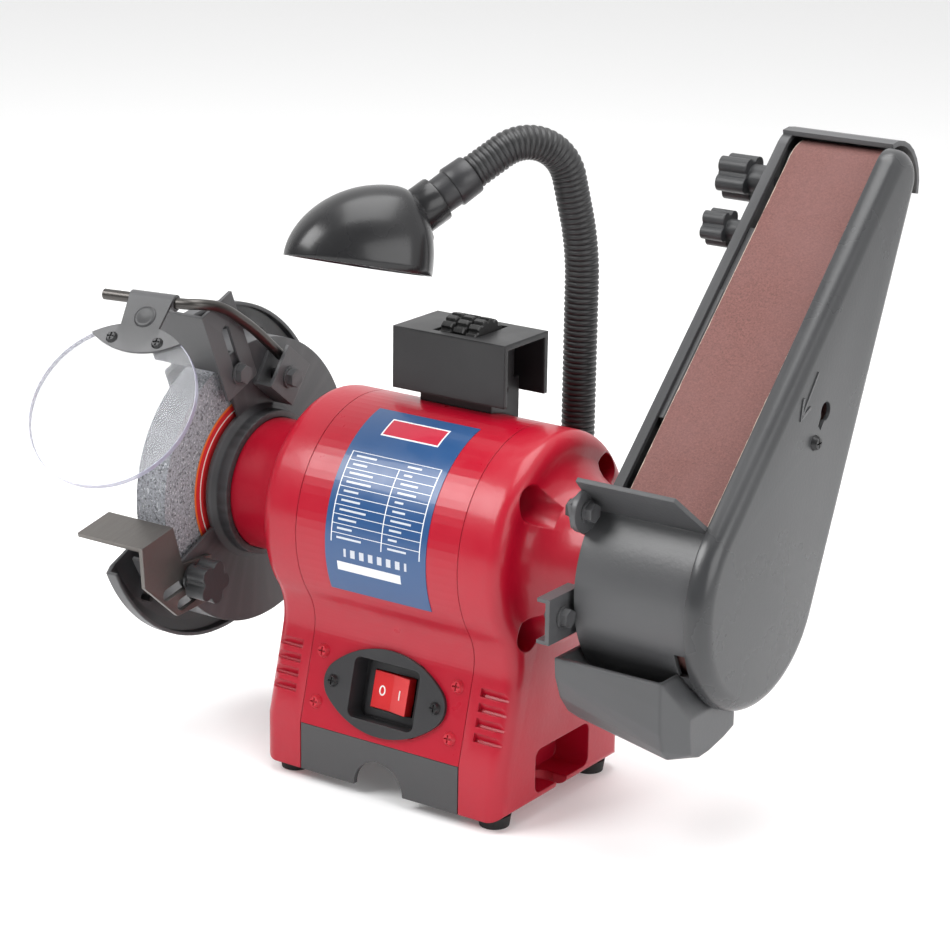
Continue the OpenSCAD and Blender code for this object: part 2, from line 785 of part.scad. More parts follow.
// Spark arrestor: face bent across the wheel, side leg with a height slot
module spark_arrestor() color([0.18, 0.18, 0.19]) translate([0, arrestor_at[0], shaft_z + arrestor_at[1]])
    rotate([arrestor_lean, 0, 0]) {
        difference() {
            translate([-arrestor_x, -14, -9.5]) cube([2, 27, arrestor_l + 1.5]);
            translate([-arrestor_x - 1, 0, 0]) rotate([90, 0, 90]) linear_extrude(4)
                rotate(90) translate([12.5, 0]) slot_2d(38, 3);
        }
        translate([-arrestor_x + 2 - arrestor_face, -14, 10]) cube([arrestor_face, 2, arrestor_l - 18]);
    }

// Bracket for the shield rod: folded plate with a wall round the rod
module shield_bracket() color([0.18, 0.18, 0.19]) translate([0, bracket_at[0], shaft_z + bracket_at[1]])
    rotate([bracket_turn, 0, 0]) difference() {
        union() {
            translate([-bracket_x, -12, -12]) cube([2, 24, 26]);
            translate([-bracket_x, -12, -12]) cube([13, 24, 2]);
            translate([-bracket_x + 11, -12, -12]) cube([2, 24, 26]);
        }
        bar_x(-bracket_x - 1, -bracket_x + 14, 3.3, 0, 0);
    }

// Bolts that hold arrestor and bracket on the guard, with washers and nuts
module guard_bolts() color([0.22, 0.22, 0.22]) {
    translate([-arrestor_x + 2, arrestor_at[0], shaft_z + arrestor_at[1]]) hex_bolt(2.7, 2, 5.5, 0);
    translate([-bracket_x + 13, bracket_at[0], shaft_z + bracket_at[1]]) hex_bolt(3, 13, 5.5, 0);
}

// A bent bar through hand-set points
module bent_bar(path, r) {
    for (i = [1:len(path) - 1]) {
        d = path[i] - path[i - 1];
        translate(path[i - 1]) rotate([0, acos(d[2] / norm(d)), atan2(d[1], d[0])]) {
            cylinder(r = r, h = norm(d), $fn = 48);
            if (i > 1) sphere(r + knuckle, $fn = 48);
        }
    }
}

// Shield rod: across the wheel, then bent back and down into the bracket
module shield_rod() color([0.25, 0.24, 0.24]) bent_bar(rod_path, rod_r);

// The shield's own plane: x along the rod, z up the shield, y out of its back
module on_shield() {
    translate(rod_mid) rotate([0, 0, rod_skew]) rotate([-shield_lean, 0, 0]) children();
}

// Draws an x-z outline in the shield's plane, between two depths
module shield_slab(y0, y1) {
    translate([0, y1, 0]) rotate([90, 0, 0]) linear_extrude(y1 - y0) children();
}

// Clip: sheet rolled round the rod, with a crescent that holds the disc
module shield_clip() color([0.19, 0.19, 0.22]) on_shield() difference() {
    union() {
        rotate([0, 90, 0]) cylinder(r = rod_r + run + clip_t, h = clip_w, center = true);
        shield_slab(-rod_r - run - clip_t, -rod_r - run) {
            polygon([[-clip_w / 2, 0], [-clip_neck / 2, shield_r - shield_drop - 4],
                [clip_neck / 2, shield_r - shield_drop - 4], [clip_w / 2, 0]]);
            crescent();
        }
    }
    rotate([0, 90, 0]) cylinder(r = rod_r + run, h = clip_w + 2, center = true);
    shield_screw_places() rotate([90, 0, 0]) cylinder(r = 1.8, h = 20, center = true);
}

module crescent() {
    intersection() {
        translate([0, -shield_drop]) circle(shield_r, $fn = 96);
        translate([0, shield_r - 34]) circle(shield_r, $fn = 96);
    }
}

module shield_screw_places() {
    for (x = [-14, 14]) translate([x, 0, -27]) children();
}

module eye_shield() color([0.9, 0.92, 0.95, 0.4]) on_shield() difference() {
    shield_slab(-rod_r - run, -rod_r - run + 3) translate([0, -shield_drop]) circle(shield_r, $fn = 96);
    shield_screw_places() rotate([90, 0, 0]) cylinder(r = 1.8, h = 20, center = true);
}

module shield_screws() color([0.15, 0.15, 0.15]) on_shield() shield_screw_places()
    translate([0, -rod_r - run - clip_t, 0]) rotate([90, 0, 0]) pan_screw(1.5, 6, 3.4, 1.8);

// Tool rest: table across the wheel, bent down beside the guard, with two slots
module on_rest() {
    translate([0, rest_at[0], shaft_z + rest_at[1]]) rotate([rest_lean, 0, 0]) children();
}

module tool_rest() color([0.33, 0.3, 0.29]) on_rest() {
    translate([-rest_x - rest_w + rest_t, -rest_d, -rest_t]) cube([rest_w, rest_d, rest_t]);
    translate([-rest_x, 0, 0]) rotate([90, 0, 90]) linear_extrude(rest_t) difference() {
        polygon([[0, 0], [-rest_d, 0], [-rest_d - 3, -23], [-8, -51], [24, -56], [26, -30], [2.5, -24]]);
        translate([2.5, rest_bolt[1]]) slot_2d(38, 3.4);
        translate([7, rest_bolt[1] - 11]) slot_2d(28, 3.4);
    }
}

module tool_rest_bolt_place() {
    on_rest() translate([0, rest_bolt[0], rest_bolt[1]]) children();
}

// Five-lobed knob that clamps the tool rest
module rest_knob() color([0.25, 0.25, 0.26])
    tool_rest_bolt_place() translate([rest_t + seam - rest_x, 0, 0]) {
    rotate([0, 90, 0]) cylinder(r = 8, h = 1.5);
    translate([1.5, 0, 0]) lobed_knob(12.5, 12, 5, 7, 3);
    translate([-rest_t - 2 * seam - guard_t, 0, 0]) rotate([0, 90, 0])
        cylinder(r = 3 - run, h = rest_t + 2 * seam + guard_t + 1);
}

// ------------------------------------------------------------------ belt arm

// Arm frame: clamp hub on the spigot, side plate with a rim, top cap and lugs
module arm_frame() color([0.2, 0.2, 0.21]) difference() {
    union() {
        bar_x(frame_in, frame_out, boss_r + 1);
        in_arm(frame_x, frame_out) arm_outline([0, 0, frame_r], frame_top);
        in_arm(frame_x, frame_out + 2.5) difference() {
            arm_outline([0, 0, frame_r], frame_top);
            arm_outline([0, 0, frame_r - 2.5], frame_top - [0, 0, 2.5]);
        }
        in_arm(frame_x, cover_x) translate([arm_c, 0]) difference() {
            slice(cap_out, -62, 52);
            circle(cap_in);
        }
        in_arm(frame_x, cover_x + cover_d - cover_t) translate(post_at) circle(5);
        in_arm(frame_x, frame_out + 12) translate([lug_u, -7]) square([4, 14]);
        along_x(frame_x - 2.6, frame_x) translate([0, shaft_z])
            polygon([[-33, 34], [-44, 54], [-62, 50], [-58, 36], [-40, 26]]);
    }
    bar_x(frame_in - 1, frame_out + 5, spigot_r + run);
    at_arm(tension_at) bar_x(frame_x - 1, frame_out + 1, 3, 0, 0);
    at_arm(tracking_at) bar_x(frame_x - 1, frame_out + 1, 3, 0, 0);
    up_arm(lug_u - 1, frame_out + 7) cylinder(r = 2.7, h = 6);
    translate([0, ear_bolt[0], shaft_z + ear_bolt[1]]) bar_x(frame_x - 5, frame_x + 1, 3, 0, 0);
    bar_x(cover_x + cover_d - cover_t - 12, cover_x + cover_d, 1.8, post_y, post_z);
}

// A frame whose z runs up the arm, at distance u from the spindle
module up_arm(u, x) {
    translate([x, u * sin(arm_lean), shaft_z + u * cos(arm_lean)]) rotate([-arm_lean, 0, 0]) children();
}

// Cover: shallow pressed lid with keyhole, screw hole and raised arrow
module arm_cover() color([0.21, 0.21, 0.22]) difference() {
    union() {
        in_arm(cover_x, cover_x + cover_d) arm_outline([0, 0, arm_low_r], arm_top);
        in_arm(cover_x + cover_d, cover_x + cover_d + 0.6) translate([100, 32]) rotate(-4) arrow();
    }
    in_arm(cover_x - 1, cover_x + cover_d - cover_t)
        arm_outline([0, 0, arm_low_r - cover_t], arm_top - [0, 0, cover_t]);
    in_arm(cover_x, cover_x + cover_d + 1) {
        translate([100, 10]) circle(5);
        translate([90, 7.5]) square([10, 4]);
    }
    bar_x(cover_x, cover_x + cover_d + 1, 2.2, post_y, post_z);
}

module arrow() {
    translate([-16, -1.2]) square([32, 2.4]);
    polygon([[-16, 0], [-4, 6], [-4, -6]]);
}

module cover_screw() color([0.2, 0.2, 0.2]) translate([cover_x + cover_d, post_y, post_z]) rotate([0, 90, 0])
    pan_screw(1.7, 10, 4.2, 2.6);

// Platen behind the working run, flanged down both sides
module platen() color([0.3, 0.3, 0.31]) translate([0, 0, shaft_z]) rotate([90, 0, 90])
    rotate(90 - arm_lean - taper) platen_solid();
module platen_solid() {
    translate([platen_u, drum_r - 3, frame_out + 2.6]) cube([platen_l, 2.6, cover_x - frame_out - 3]);
    translate([platen_u, 28, frame_out + 2.6]) cube([platen_l - 40, drum_r - 28, 2.5]);
    translate([platen_u, 36, cover_x - 3]) cube([platen_l, drum_r - 36, 2.5]);
}

// Drive drum: rim, web and hub on the spindle
module drive_drum() color("silver") difference() {
    bar_x(drum_x, drum_x + drum_w, drum_r);
    for (x = [drum_x - 1, drum_x + drum_w / 2 + 3]) difference() {
        bar_x(x, x + drum_w / 2 - 2, drum_r - 6);
        bar_x(x - 1, x + drum_w / 2, 16);
    }
    bar_x(drum_x - 1, drum_x + drum_w + 1, drum_seat_r - 0.5 + run);
}

module drum_nut() color("silver") difference() {
    hex_x(drum_x + drum_w, drum_x + drum_w + 6, 12);
    bar_x(drum_x + drum_w - 1, drum_x + drum_w + 7, drum_seat_r - 0.5 + run);
}

// Yoke that carries the idler axle and slides up the arm frame
module idler_yoke() color([0.5, 0.5, 0.52]) {
    in_arm(yoke_x, yoke_x + yoke_t) translate([arm_c - 38, -12]) square([48, 24]);
    in_arm(yoke_x, drum_x + drum_w + 1) translate([arm_c, 0]) circle(axle_r);
    in_arm(yoke_x, frame_out + 12) translate([arm_c - 41, -7]) square([3, 14]);
    up_arm(lug_u - 9, frame_out + 7) cylinder(r = 2.2, h = 30 + release);
}

module idler_drum() color([0.85, 0.85, 0.83]) difference() {
    in_arm(drum_x, drum_x + drum_w) translate([arm_c, 0]) difference() {
        circle(idler_r, $fn = 96);
        circle(axle_r + run);
    }
    for (x = [drum_x - 1, drum_x + drum_w - 6]) in_arm(x, x + 7) translate([arm_c, 0]) difference() {
        circle(idler_r - 4);
        circle(axle_r + 5);
    }
}

// Tension spring round the yoke's stem, drawn as its coils
module tension_spring() color("silver") for (i = [0:spring_turns - 1])
    up_arm(lug_u + 5 + i * (arm_c - 41 - lug_u - 6) / (spring_turns - 1), frame_out + 7)
        rotate_extrude() translate([3.4, 0]) circle(0.7, $fn = 16);

module tension_knob() color([0.22, 0.22, 0.22]) at_arm(tension_at) arm_knob(13, 17, 8, 10);

module tracking_knob() color([0.22, 0.22, 0.22]) at_arm(tracking_at) arm_knob(10.5, 13, 5.5, 7);

module arm_knob(r, h, collar_r, collar_h) {
    translate([frame_x - seam, 0, 0]) mirror([1, 0, 0]) lobed_knob(r, h, 5, collar_r, collar_h);
    bar_x(frame_x - 2, frame_out, 3 - run, 0, 0);
}

module sanding_belt() color([0.56, 0.36, 0.35]) in_arm(belt_x, belt_x + belt_w) difference() {
    arm_outline([0, 0, drum_r + run_gap + belt_t], [arm_c, 0, idler_r + run_gap + belt_t]);
    arm_outline([0, 0, drum_r + run_gap], [arm_c, 0, idler_r + run_gap]);
}

// Belt guard: shell round the drum, ledge that supports the work, and a fixing ear
module belt_guard() color([0.24, 0.24, 0.25]) translate([0, 0, shaft_z]) difference() {
    union() {
        along_x(frame_out + seam, cover_x) shell_arc(shell_in, shell_out);
        along_x(frame_x, frame_out + 1) shell_arc(frame_r + seam, shell_out);
        along_x(frame_x, cover_x) rotate(rest_a) translate([shell_out - 1, -shell_t])
            square([ledge, shell_t]);
        along_x(frame_x, frame_out) difference() {
            hull() {
                translate(ear_bolt) circle(ear_r);
                translate([-40, 38]) circle(3);
            }
            circle(frame_r + seam);
        }
    }
    rotate([rest_a, 0, 0]) translate([0, 0, -ledge]) linear_extrude(2 * ledge)
        polygon([[cover_x + 1, shell_out], [cover_x + 1, shell_out + ledge],
            [cover_x - ledge_cut, shell_out + ledge]]);
    bar_x(frame_x - 1, frame_out + 1, 3, ear_bolt[0], ear_bolt[1]);
    along_x(cover_x - 8, cover_x + 1) rotate(notch_a) translate([shell_in - 2, 0]) square([8, notch_l]);
}

module shell_arc(r0, r1) {
    intersection() {
        difference() {
            circle(r1, $fn = 96);
            circle(r0, $fn = 96);
        }
        slice(2 * r1, rest_a - 1, 252);
    }
}

// Channel bracket that ties tray and guard to the arm's clamp
module tray_bracket() color([0.2, 0.2, 0.21]) translate([0, 0, shaft_z]) difference() {
    union() {
        translate([boss_x - 3, bracket_y[0], -22]) cube([2.5, bracket_y[1] - bracket_y[0], 24]);
        for (z = [-22, 0]) translate([boss_x - 8, bracket_y[0], z]) cube([6, bracket_y[1] - bracket_y[0], 2]);
        translate([boss_x - 3, bracket_y[1] - 3, -22]) cube([6, 3, 24]);
    }
    bar_x(boss_x - 5, boss_x + 1, 3, tray_bolt[0], tray_bolt[1]);
}

// Bolts of the ear and of the channel bracket
module arm_bolts() color([0.3, 0.3, 0.3]) {
    translate([frame_out, ear_bolt[0], shaft_z + ear_bolt[1]]) hex_bolt(2.8, 11, 5, 6);
    translate([boss_x - 0.5, tray_bolt[0], shaft_z + tray_bolt[1]]) hex_bolt(2.8, 9, 5, 3);
}

// Dust tray: scoop under the drum, open at the top and at the back. It is narrow at its front
// lip and widens towards the back, under the cover.
module dust_tray() color([0.33, 0.34, 0.35]) translate([0, 0, shaft_z]) difference() {
    tray_form(0, 0);
    tray_form(tray_t, 60);
    bar_x(tray_x - 1, frame_in, boss_r + 4, 0, 0);
    bar_x(frame_in - free, cover_x + 1, shell_out + 0.2, 0, 0);
}

// The tray's outside, drawn inwards by i and stretched back by the length b
module tray_form(i, b) {
    hull() {
        tray_slab(tray_x + i, tray_left, i, b, tray_top);
        tray_slab(cover_x - tray_notch - i - 1, tray_right, i, b, tray_top);
        tray_slab(cover_x - i - 1, tray_rear, i, b, tray_top - tray_step);
    }
}

module tray_slab(x, side, i, b, top) {
    last = side[len(side) - 1];
    along_x(x, x + 1) polygon(concat(
        [for (p = side) [p[0] * tray_front + i, p[1] * tray_deep + i]],
        [[last[0] * tray_front + i + b, last[1] * tray_deep + i], [last[0] * tray_front + i + b, top + i],
            [side[0][0] * tray_front + i, top + i]]
    ));
}

// ------------------------------------------------------------------ lamp

// Socket on the back of the motor that holds the gooseneck upright
module lamp_mount() color([0.15, 0.15, 0.15]) difference() {
    union() {
        translate([stalk_at[0], stalk_at[1], stalk_z - 14]) cylinder(r = neck_tube_r + 4, h = 26);
        translate([stalk_at[0] - 15, 40, stalk_z - 14]) cube([30, stalk_at[1] - 40, 14]);
    }
    bar_x(0, 2 * wrap_half, barrel_r);
    translate([stalk_at[0], stalk_at[1], stalk_z - seam]) cylinder(r = neck_tube_r + run, h = 20);
}

// The stalk's plane: x along its lean, z up
module on_stalk() {
    translate([stalk_at[0], stalk_at[1], stalk_z]) rotate([0, 0, stalk_turn]) children();
}

module tube_run(p, a, l, r) {
    translate([p[0], 0, p[1]]) rotate([0, a, 0]) cylinder(r = r, h = l, $fn = 48);
}

module gooseneck() color([0.16, 0.15, 0.15]) on_stalk() bent_bar(stalk_path, neck_tube_r);

// Sleeve and collar between gooseneck and shade
module lamp_collar() color([0.13, 0.13, 0.13]) on_stalk() difference() {
    union() {
        tube_run(sleeve_at - 4 * head_dir, bend_a, sleeve_l, neck_tube_r + 1.5);
        tube_run(sleeve_at + (sleeve_l - 4) * head_dir, bend_a, collar_l - seam, 12.5);
    }
    tube_run(sleeve_at - 5 * head_dir, bend_a, 5, neck_tube_r);
}

// The shade's own frame: x towards its tip, z up from the rim
module on_shade() {
    on_stalk() translate([ring_at[0], 0, ring_at[1]]) rotate([0, -shade_rise, 0]) rotate([shade_roll, 0, 0])
        children();
}

// Shade: half an egg over the lamp, open below, with the ring it hangs from
module lamp_shade() color([0.1, 0.1, 0.1]) {
    difference() {
        on_shade() difference() {
            shade_form(0);
            translate([0, 0, -1]) shade_form(2);
            translate([0, 0, -shade_down]) cube([200, 200, 3], center = true);
        }
        on_stalk() tube_run(ring_at - 40 * head_dir, bend_a, 40, collar_hole_r);
    }
    on_stalk() difference() {
        tube_run(ring_at, bend_a, ring_l, 17);
        tube_run(ring_at - head_dir, bend_a, ring_l + 2, collar_hole_r);
    }
}

module shade_form(i) {
    hull() {
        translate([14, 0, -shade_down]) cylinder(r = shade_half - i, h = 1, $fn = 48);
        translate([shade_l - 14, 0, -shade_down]) cylinder(r = 7 - i, h = 1, $fn = 32);
        translate([6, 0, -5]) sphere(17 - i, $fn = 32);
        translate([34, 0, -16]) sphere(13 - i, $fn = 32);
    }
}

module bulb() color([0.95, 0.93, 0.85]) on_shade() translate([18, 0, -16]) {
    sphere(9, $fn = 32);
    cylinder(r = 6, h = 25, $fn = 32);
}

// ------------------------------------------------------------------ dresser

// Stand screwed on top of the barrel
module dresser_stand() color([0.16, 0.16, 0.16]) difference() {
    union() {
        translate([-stand_l / 2, dresser_y - stand_w / 2, shaft_z + 30])
            cube([stand_l, stand_w, dresser_top - shaft_z - 30 - 25]);
        for (side = [-1, 1]) translate([side * (stand_l / 2 - 2.5) - 2.5, dresser_y - 8, dresser_top - 26])
            cube([5, 16, 26 - dresser_wall - seam]);
    }
    bar_x(-stand_l, stand_l, barrel_r);
    translate([stand_l / 2, dresser_y, dresser_top - 31]) rotate([0, 90, 0])
        cylinder(r = 2.5, h = 20, center = true);
}

// Channel open at both ends and below, with a slot on top and two cheeks that carry the axle
module dresser_channel() color([0.17, 0.17, 0.17]) {
    difference() {
        translate([-dresser_l / 2, dresser_y - dresser_w / 2, dresser_top - dresser_h])
            cube([dresser_l, dresser_w, dresser_h]);
        translate([-dresser_l, dresser_in, dresser_top - dresser_h - dresser_wall])
            cube([2 * dresser_l, dresser_w - 2 * dresser_wall, dresser_h]);
        translate([0, dresser_y, dresser_top]) cube([2 * cheek_x, 2 * star_r, 10], center = true);
    }
    for (side = [-1, 1]) translate([side * (cheek_x + 1) - 1, dresser_in, star_z - 8])
        cube([2, dresser_w - 2 * dresser_wall, 8 + 8 - dresser_wall]);
    bar_x(-cheek_x - 1, cheek_x + 1, 3, dresser_y, star_z);
}

// Three toothed wheels on the axle
module star_wheels() color([0.14, 0.14, 0.14]) for (i = [-1:1]) difference() {
    union() {
        bar_x(i * star_x - star_w / 2, i * star_x + star_w / 2, star_r - 2, dresser_y, star_z);
        for (a = [0:30:330]) translate([0, dresser_y, star_z]) rotate([a + i * 10, 0, 0])
            translate([i * star_x - star_w / 2, -1.5, star_r - 3]) cube([star_w, 3, 3]);
    }
    bar_x(i * star_x - star_w, i * star_x + star_w, 3 + run, dresser_y, star_z);
}

motor_wrap();
left_end_casting();
right_end_casting();
base_panel();
rubber_feet();
foot_screws();
data_label();
panel_screws();
switch_plate();
switch_body();
switch_screws();
rocker();
tie_bolts();
stator();
windings();
capacitor();
rotor();
spindle();
bearings();
cable_gland();
inner_guard();
outer_guard();
guard_screws();
wheel_flanges();
grinding_wheel();
wheel_labels();
wheel_nut();
spark_arrestor();
shield_bracket();
guard_bolts();
shield_rod();
shield_clip();
eye_shield();
shield_screws();
tool_rest();
rest_knob();
arm_frame();
arm_cover();
cover_screw();
platen();
drive_drum();
drum_nut();
idler_yoke();
idler_drum();
tension_spring();
tension_knob();
tracking_knob();
sanding_belt();
belt_guard();
tray_bracket();
arm_bolts();
dust_tray();
lamp_mount();
gooseneck();
lamp_collar();
lamp_shade();
bulb();
dresser_stand();
dresser_channel();
star_wheels();
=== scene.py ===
import math
from math import cos, pi, radians, sin, sqrt
import bmesh
import bpy
from mathutils import Matrix, Vector


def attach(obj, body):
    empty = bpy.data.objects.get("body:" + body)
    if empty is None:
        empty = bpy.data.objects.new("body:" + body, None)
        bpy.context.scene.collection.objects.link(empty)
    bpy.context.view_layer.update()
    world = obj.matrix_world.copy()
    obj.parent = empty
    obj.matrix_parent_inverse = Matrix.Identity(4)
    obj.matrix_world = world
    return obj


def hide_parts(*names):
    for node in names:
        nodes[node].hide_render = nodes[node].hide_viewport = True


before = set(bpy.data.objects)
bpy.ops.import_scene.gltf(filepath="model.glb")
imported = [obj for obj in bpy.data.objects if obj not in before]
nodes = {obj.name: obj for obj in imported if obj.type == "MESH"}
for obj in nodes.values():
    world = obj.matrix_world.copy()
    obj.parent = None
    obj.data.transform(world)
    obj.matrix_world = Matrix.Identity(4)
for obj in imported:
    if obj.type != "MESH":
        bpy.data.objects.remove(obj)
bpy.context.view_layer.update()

SPINDLE = 0.135               # height of the spindle's axis, on which most pieces are centred


# ---------------------------------------------------------------- red housing
# The motor stands in a pressed steel wrap between two cast end bells, all in
# one glossy red enamel with a faint orange-peel and softened edges.

class Wire:
    """A shader value that can be added, multiplied and compared like a number."""

    def __init__(self, paint, socket):
        self.paint, self.socket = paint, socket

    def _sum(self, operation, *parts):
        return self.paint.node("ShaderNodeMath", {"operation": operation}, dict(enumerate(parts)))

    def __add__(self, other): return self._sum("ADD", self, other)
    def __radd__(self, other): return self._sum("ADD", other, self)
    def __sub__(self, other): return self._sum("SUBTRACT", self, other)
    def __rsub__(self, other): return self._sum("SUBTRACT", other, self)
    def __mul__(self, other): return self._sum("MULTIPLY", self, other)
    def __rmul__(self, other): return self._sum("MULTIPLY", other, self)
    def __truediv__(self, other): return self._sum("DIVIDE", self, other)
    def __pow__(self, other): return self._sum("POWER", self, other)
    def __abs__(self): return self._sum("ABSOLUTE", self)
    def above(self, edge): return self._sum("GREATER_THAN", self, edge)
    def below(self, edge): return self._sum("LESS_THAN", self, edge)
    def at_most(self, top): return self._sum("MINIMUM", self, top)


class Paint:
    """A material built from Python expressions around one Principled shader."""

    def __init__(self, name, colour, roughness, metallic=0.0, **fixed):
        self.material = bpy.data.materials.new(name)
        self.material.use_nodes = True
        self.tree = self.material.node_tree
        self.shader = self.tree.nodes["Principled BSDF"]
        self.set("Base Color", (*colour, 1))
        self.set("Roughness", roughness)
        self.set("Metallic", metallic)
        for label, value in fixed.items():
            self.set(label.replace("_", " "), value)
        self.material.diffuse_color = (*colour, 1)
        self.material.roughness = roughness if isinstance(roughness, float) else 0.5

    def set(self, label, value):
        self.join(self.shader.inputs[label], value)

    def join(self, socket, value):
        if isinstance(value, Wire):
            self.tree.links.new(value.socket, socket)
        else:
            socket.default_value = value

    def node(self, kind, settings, values, out=0):
        made = self.tree.nodes.new(kind)
        for key, value in settings.items():
            if key == "stops":
                ramp = made.color_ramp.elements
                while len(ramp) < len(value):
                    ramp.new(0.5)
                for stop, (place, shade) in zip(ramp, value):
                    stop.position, stop.color = place, (*shade, 1)
            else:
                setattr(made, key, value)
        for key, value in values.items():
            self.join(made.inputs[key], value)
        return Wire(self, made.outputs[out])

    def place(self):
        return self.node("ShaderNodeTexCoord", {}, {}, "Object")

    def axes(self):
        split = self.node("ShaderNodeSeparateXYZ", {}, {0: self.place()})
        return [Wire(self, split.socket.node.outputs[i]) for i in range(3)]

    def stretched(self, scale):
        return self.node("ShaderNodeMapping", {}, {"Vector": self.place(), "Scale": scale})

    def noise(self, scale, detail=4.0, rough=0.55, at=None):
        return self.node("ShaderNodeTexNoise", {}, {
            "Vector": at or self.place(), "Scale": scale, "Detail": detail, "Roughness": rough})

    def grain(self, scale, at=None):
        return self.node("ShaderNodeTexVoronoi", {}, {"Vector": at or self.place(), "Scale": scale})

    def spread(self, value, low, high, start, end):
        return self.node("ShaderNodeMapRange", {}, {0: value, 1: low, 2: high, 3: start, 4: end})

    def mix(self, share, first, second):
        return self.node("ShaderNodeMix", {"data_type": "RGBA"}, {
            0: share, 6: first if isinstance(first, Wire) else (*first, 1),
            7: second if isinstance(second, Wire) else (*second, 1)}, 2)

    def soften(self, radius):
        """Rounds the look of hard edges by that radius, in metres."""
        return self.node("ShaderNodeBevel", {"samples": 4}, {"Radius": radius})

    def bump(self, height, strength, distance, radius=0.0):
        values = {"Height": height, "Strength": strength, "Distance": distance}
        if radius:
            values["Normal"] = self.soften(radius)
        self.set("Normal", self.node("ShaderNodeBump", {}, values))
        return self


def sharp_edge_share(paint, amount=1.0):
    """Sharp convex edges, 0 on flat ground and up to amount (1 by default) on a sharp corner."""
    sharp = paint.node("ShaderNodeNewGeometry", {}, {}, "Pointiness")
    return paint.spread(sharp, 0.52, 0.62, 0.0, amount)


def coat_node(paint, *names):
    """Puts a finish on CAD pieces that stay in view."""
    for name in names:
        piece = nodes[name]
        piece.data.materials.clear()
        piece.data.materials.append(paint.material)
        piece.data.polygons.foreach_set("material_index", [0] * len(piece.data.polygons))


def enamel(name, colour, roughness, edge, peel=0.06):
    paint = Paint(name, colour, roughness, Coat_Weight=0.25, Coat_Roughness=0.14, Specular_IOR_Level=0.32)
    patch = paint.noise(9, 3)
    paint.set("Base Color", paint.mix(patch, [c * 0.9 for c in colour], [min(1, c * 1.08) for c in colour]))
    paint.set("Roughness", paint.spread(paint.noise(60, 5), 0.3, 0.7, roughness - 0.05, roughness + 0.07))
    paint.bump(paint.noise(420, 2), peel, 0.0006, edge)
    return paint


RED = (0.385, 0.0028, 0.018)
red_cast = enamel("red_cast_enamel", RED, 0.36, 0.0012, 0.12)
red_sheet = enamel("red_sheet_enamel", RED, 0.32, 0.0006)
coat_node(red_sheet, "motor_wrap")


def new_piece(name, body, mesh, paint, slot, *stands_for, smooth=True):
    """A finished piece from a bmesh, riding on its body."""
    data = bpy.data.meshes.new(name)
    bmesh.ops.recalc_face_normals(mesh, faces=mesh.faces)
    mesh.to_mesh(data)
    mesh.free()
    piece = bpy.data.objects.new(name, data)
    bpy.context.scene.collection.objects.link(piece)
    data.materials.append(paint.material)
    if smooth:
        data.polygons.foreach_set("use_smooth", [True] * len(data.polygons))
        data.set_sharp_from_angle(angle=radians(38))
    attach(piece, body)
    if stands_for:
        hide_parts(*stands_for)
    return piece


def loft(mesh, rings, closed_ends=True, loop=True):
    """Skins rings of points, one after another, and caps the first and last."""
    rows = [[mesh.verts.new(p) for p in ring] for ring in rings]
    for low, high in zip(rows, rows[1:]):
        n = len(low)
        for i in range(n if loop else n - 1):
            j = (i + 1) % n
            mesh.faces.new((low[i], low[j], high[j], high[i]))
    if closed_ends:
        mesh.faces.new(rows[0])
        mesh.faces.new(rows[-1])
    return rows


def carve(piece, *cutters, operation="DIFFERENCE"):
    """Cuts the cutters out of a piece, or joins them to it, for good."""
    for cutter in cutters:
        step = piece.modifiers.new("carve", "BOOLEAN")
        step.operation, step.solver, step.object = operation, "EXACT", cutter
    dg = bpy.context.evaluated_depsgraph_get()
    final = bpy.data.meshes.new_from_object(piece.evaluated_get(dg))
    piece.modifiers.clear()
    piece.data = final
    for cutter in cutters:
        bpy.data.objects.remove(cutter)


def loose(mesh):
    """A bmesh as an object of its own, to cut with or to join on."""
    data = bpy.data.meshes.new("tool")
    bmesh.ops.recalc_face_normals(mesh, faces=mesh.faces)
    mesh.to_mesh(data)
    mesh.free()
    piece = bpy.data.objects.new("tool", data)
    bpy.context.scene.collection.objects.link(piece)
    return piece


def turned(profile, steps=72, axis_y=0.0, axis_z=SPINDLE):
    """A body turned about the spindle from (x, r) points."""
    mesh = bmesh.new()
    rings = [[(x, axis_y + r * cos(2 * pi * i / steps), axis_z + r * sin(2 * pi * i / steps))
              for i in range(steps)] for x, r in profile]
    loft(mesh, rings)
    return mesh


# ---------------------------------------------------------------- end bells
# Each bell is a sand casting: a dished face inside a rounded rim, four deep
# bolt pockets, a round neck, moulded vents and a bench-bolt recess in the foot.
BARREL, FOOT, LEAN = 0.0635, 0.060, radians(14.6)
NECK = 0.030


PANEL_Y, PANEL_Z = -0.053149, 0.0533


def bell_outline(inset):
    """Half round above, leaning flanks below, with a tangent hollow between them."""
    lean_d = FOOT * cos(LEAN) - (SPINDLE - 0.027) * sin(LEAN)
    reach = sqrt((BARREL + NECK) ** 2 - (lean_d + NECK) ** 2)
    centre = Vector(((lean_d + NECK) * cos(LEAN) + reach * sin(LEAN),
                     SPINDLE + (lean_d + NECK) * sin(LEAN) - reach * cos(LEAN)))
    knee = SPINDLE + ((lean_d - inset) - cos(LEAN) * (FOOT - inset)) / sin(LEAN)
    away = math.atan2(centre.y - SPINDLE, centre.x)
    side = [(FOOT - inset, inset * 0.6), (FOOT - inset, 0.014), (FOOT - inset, knee)]
    for i in range(13):
        a = pi + LEAN + (away - LEAN) * i / 12
        side.append((centre.x + (NECK + inset) * cos(a), centre.y + (NECK + inset) * sin(a)))
    for i in range(1, 31):
        a = away + (pi / 2 - away) * i / 30
        side.append(((BARREL - inset) * cos(a), SPINDLE + (BARREL - inset) * sin(a)))
    return side + [(-y, z) for y, z in side[-2::-1]]


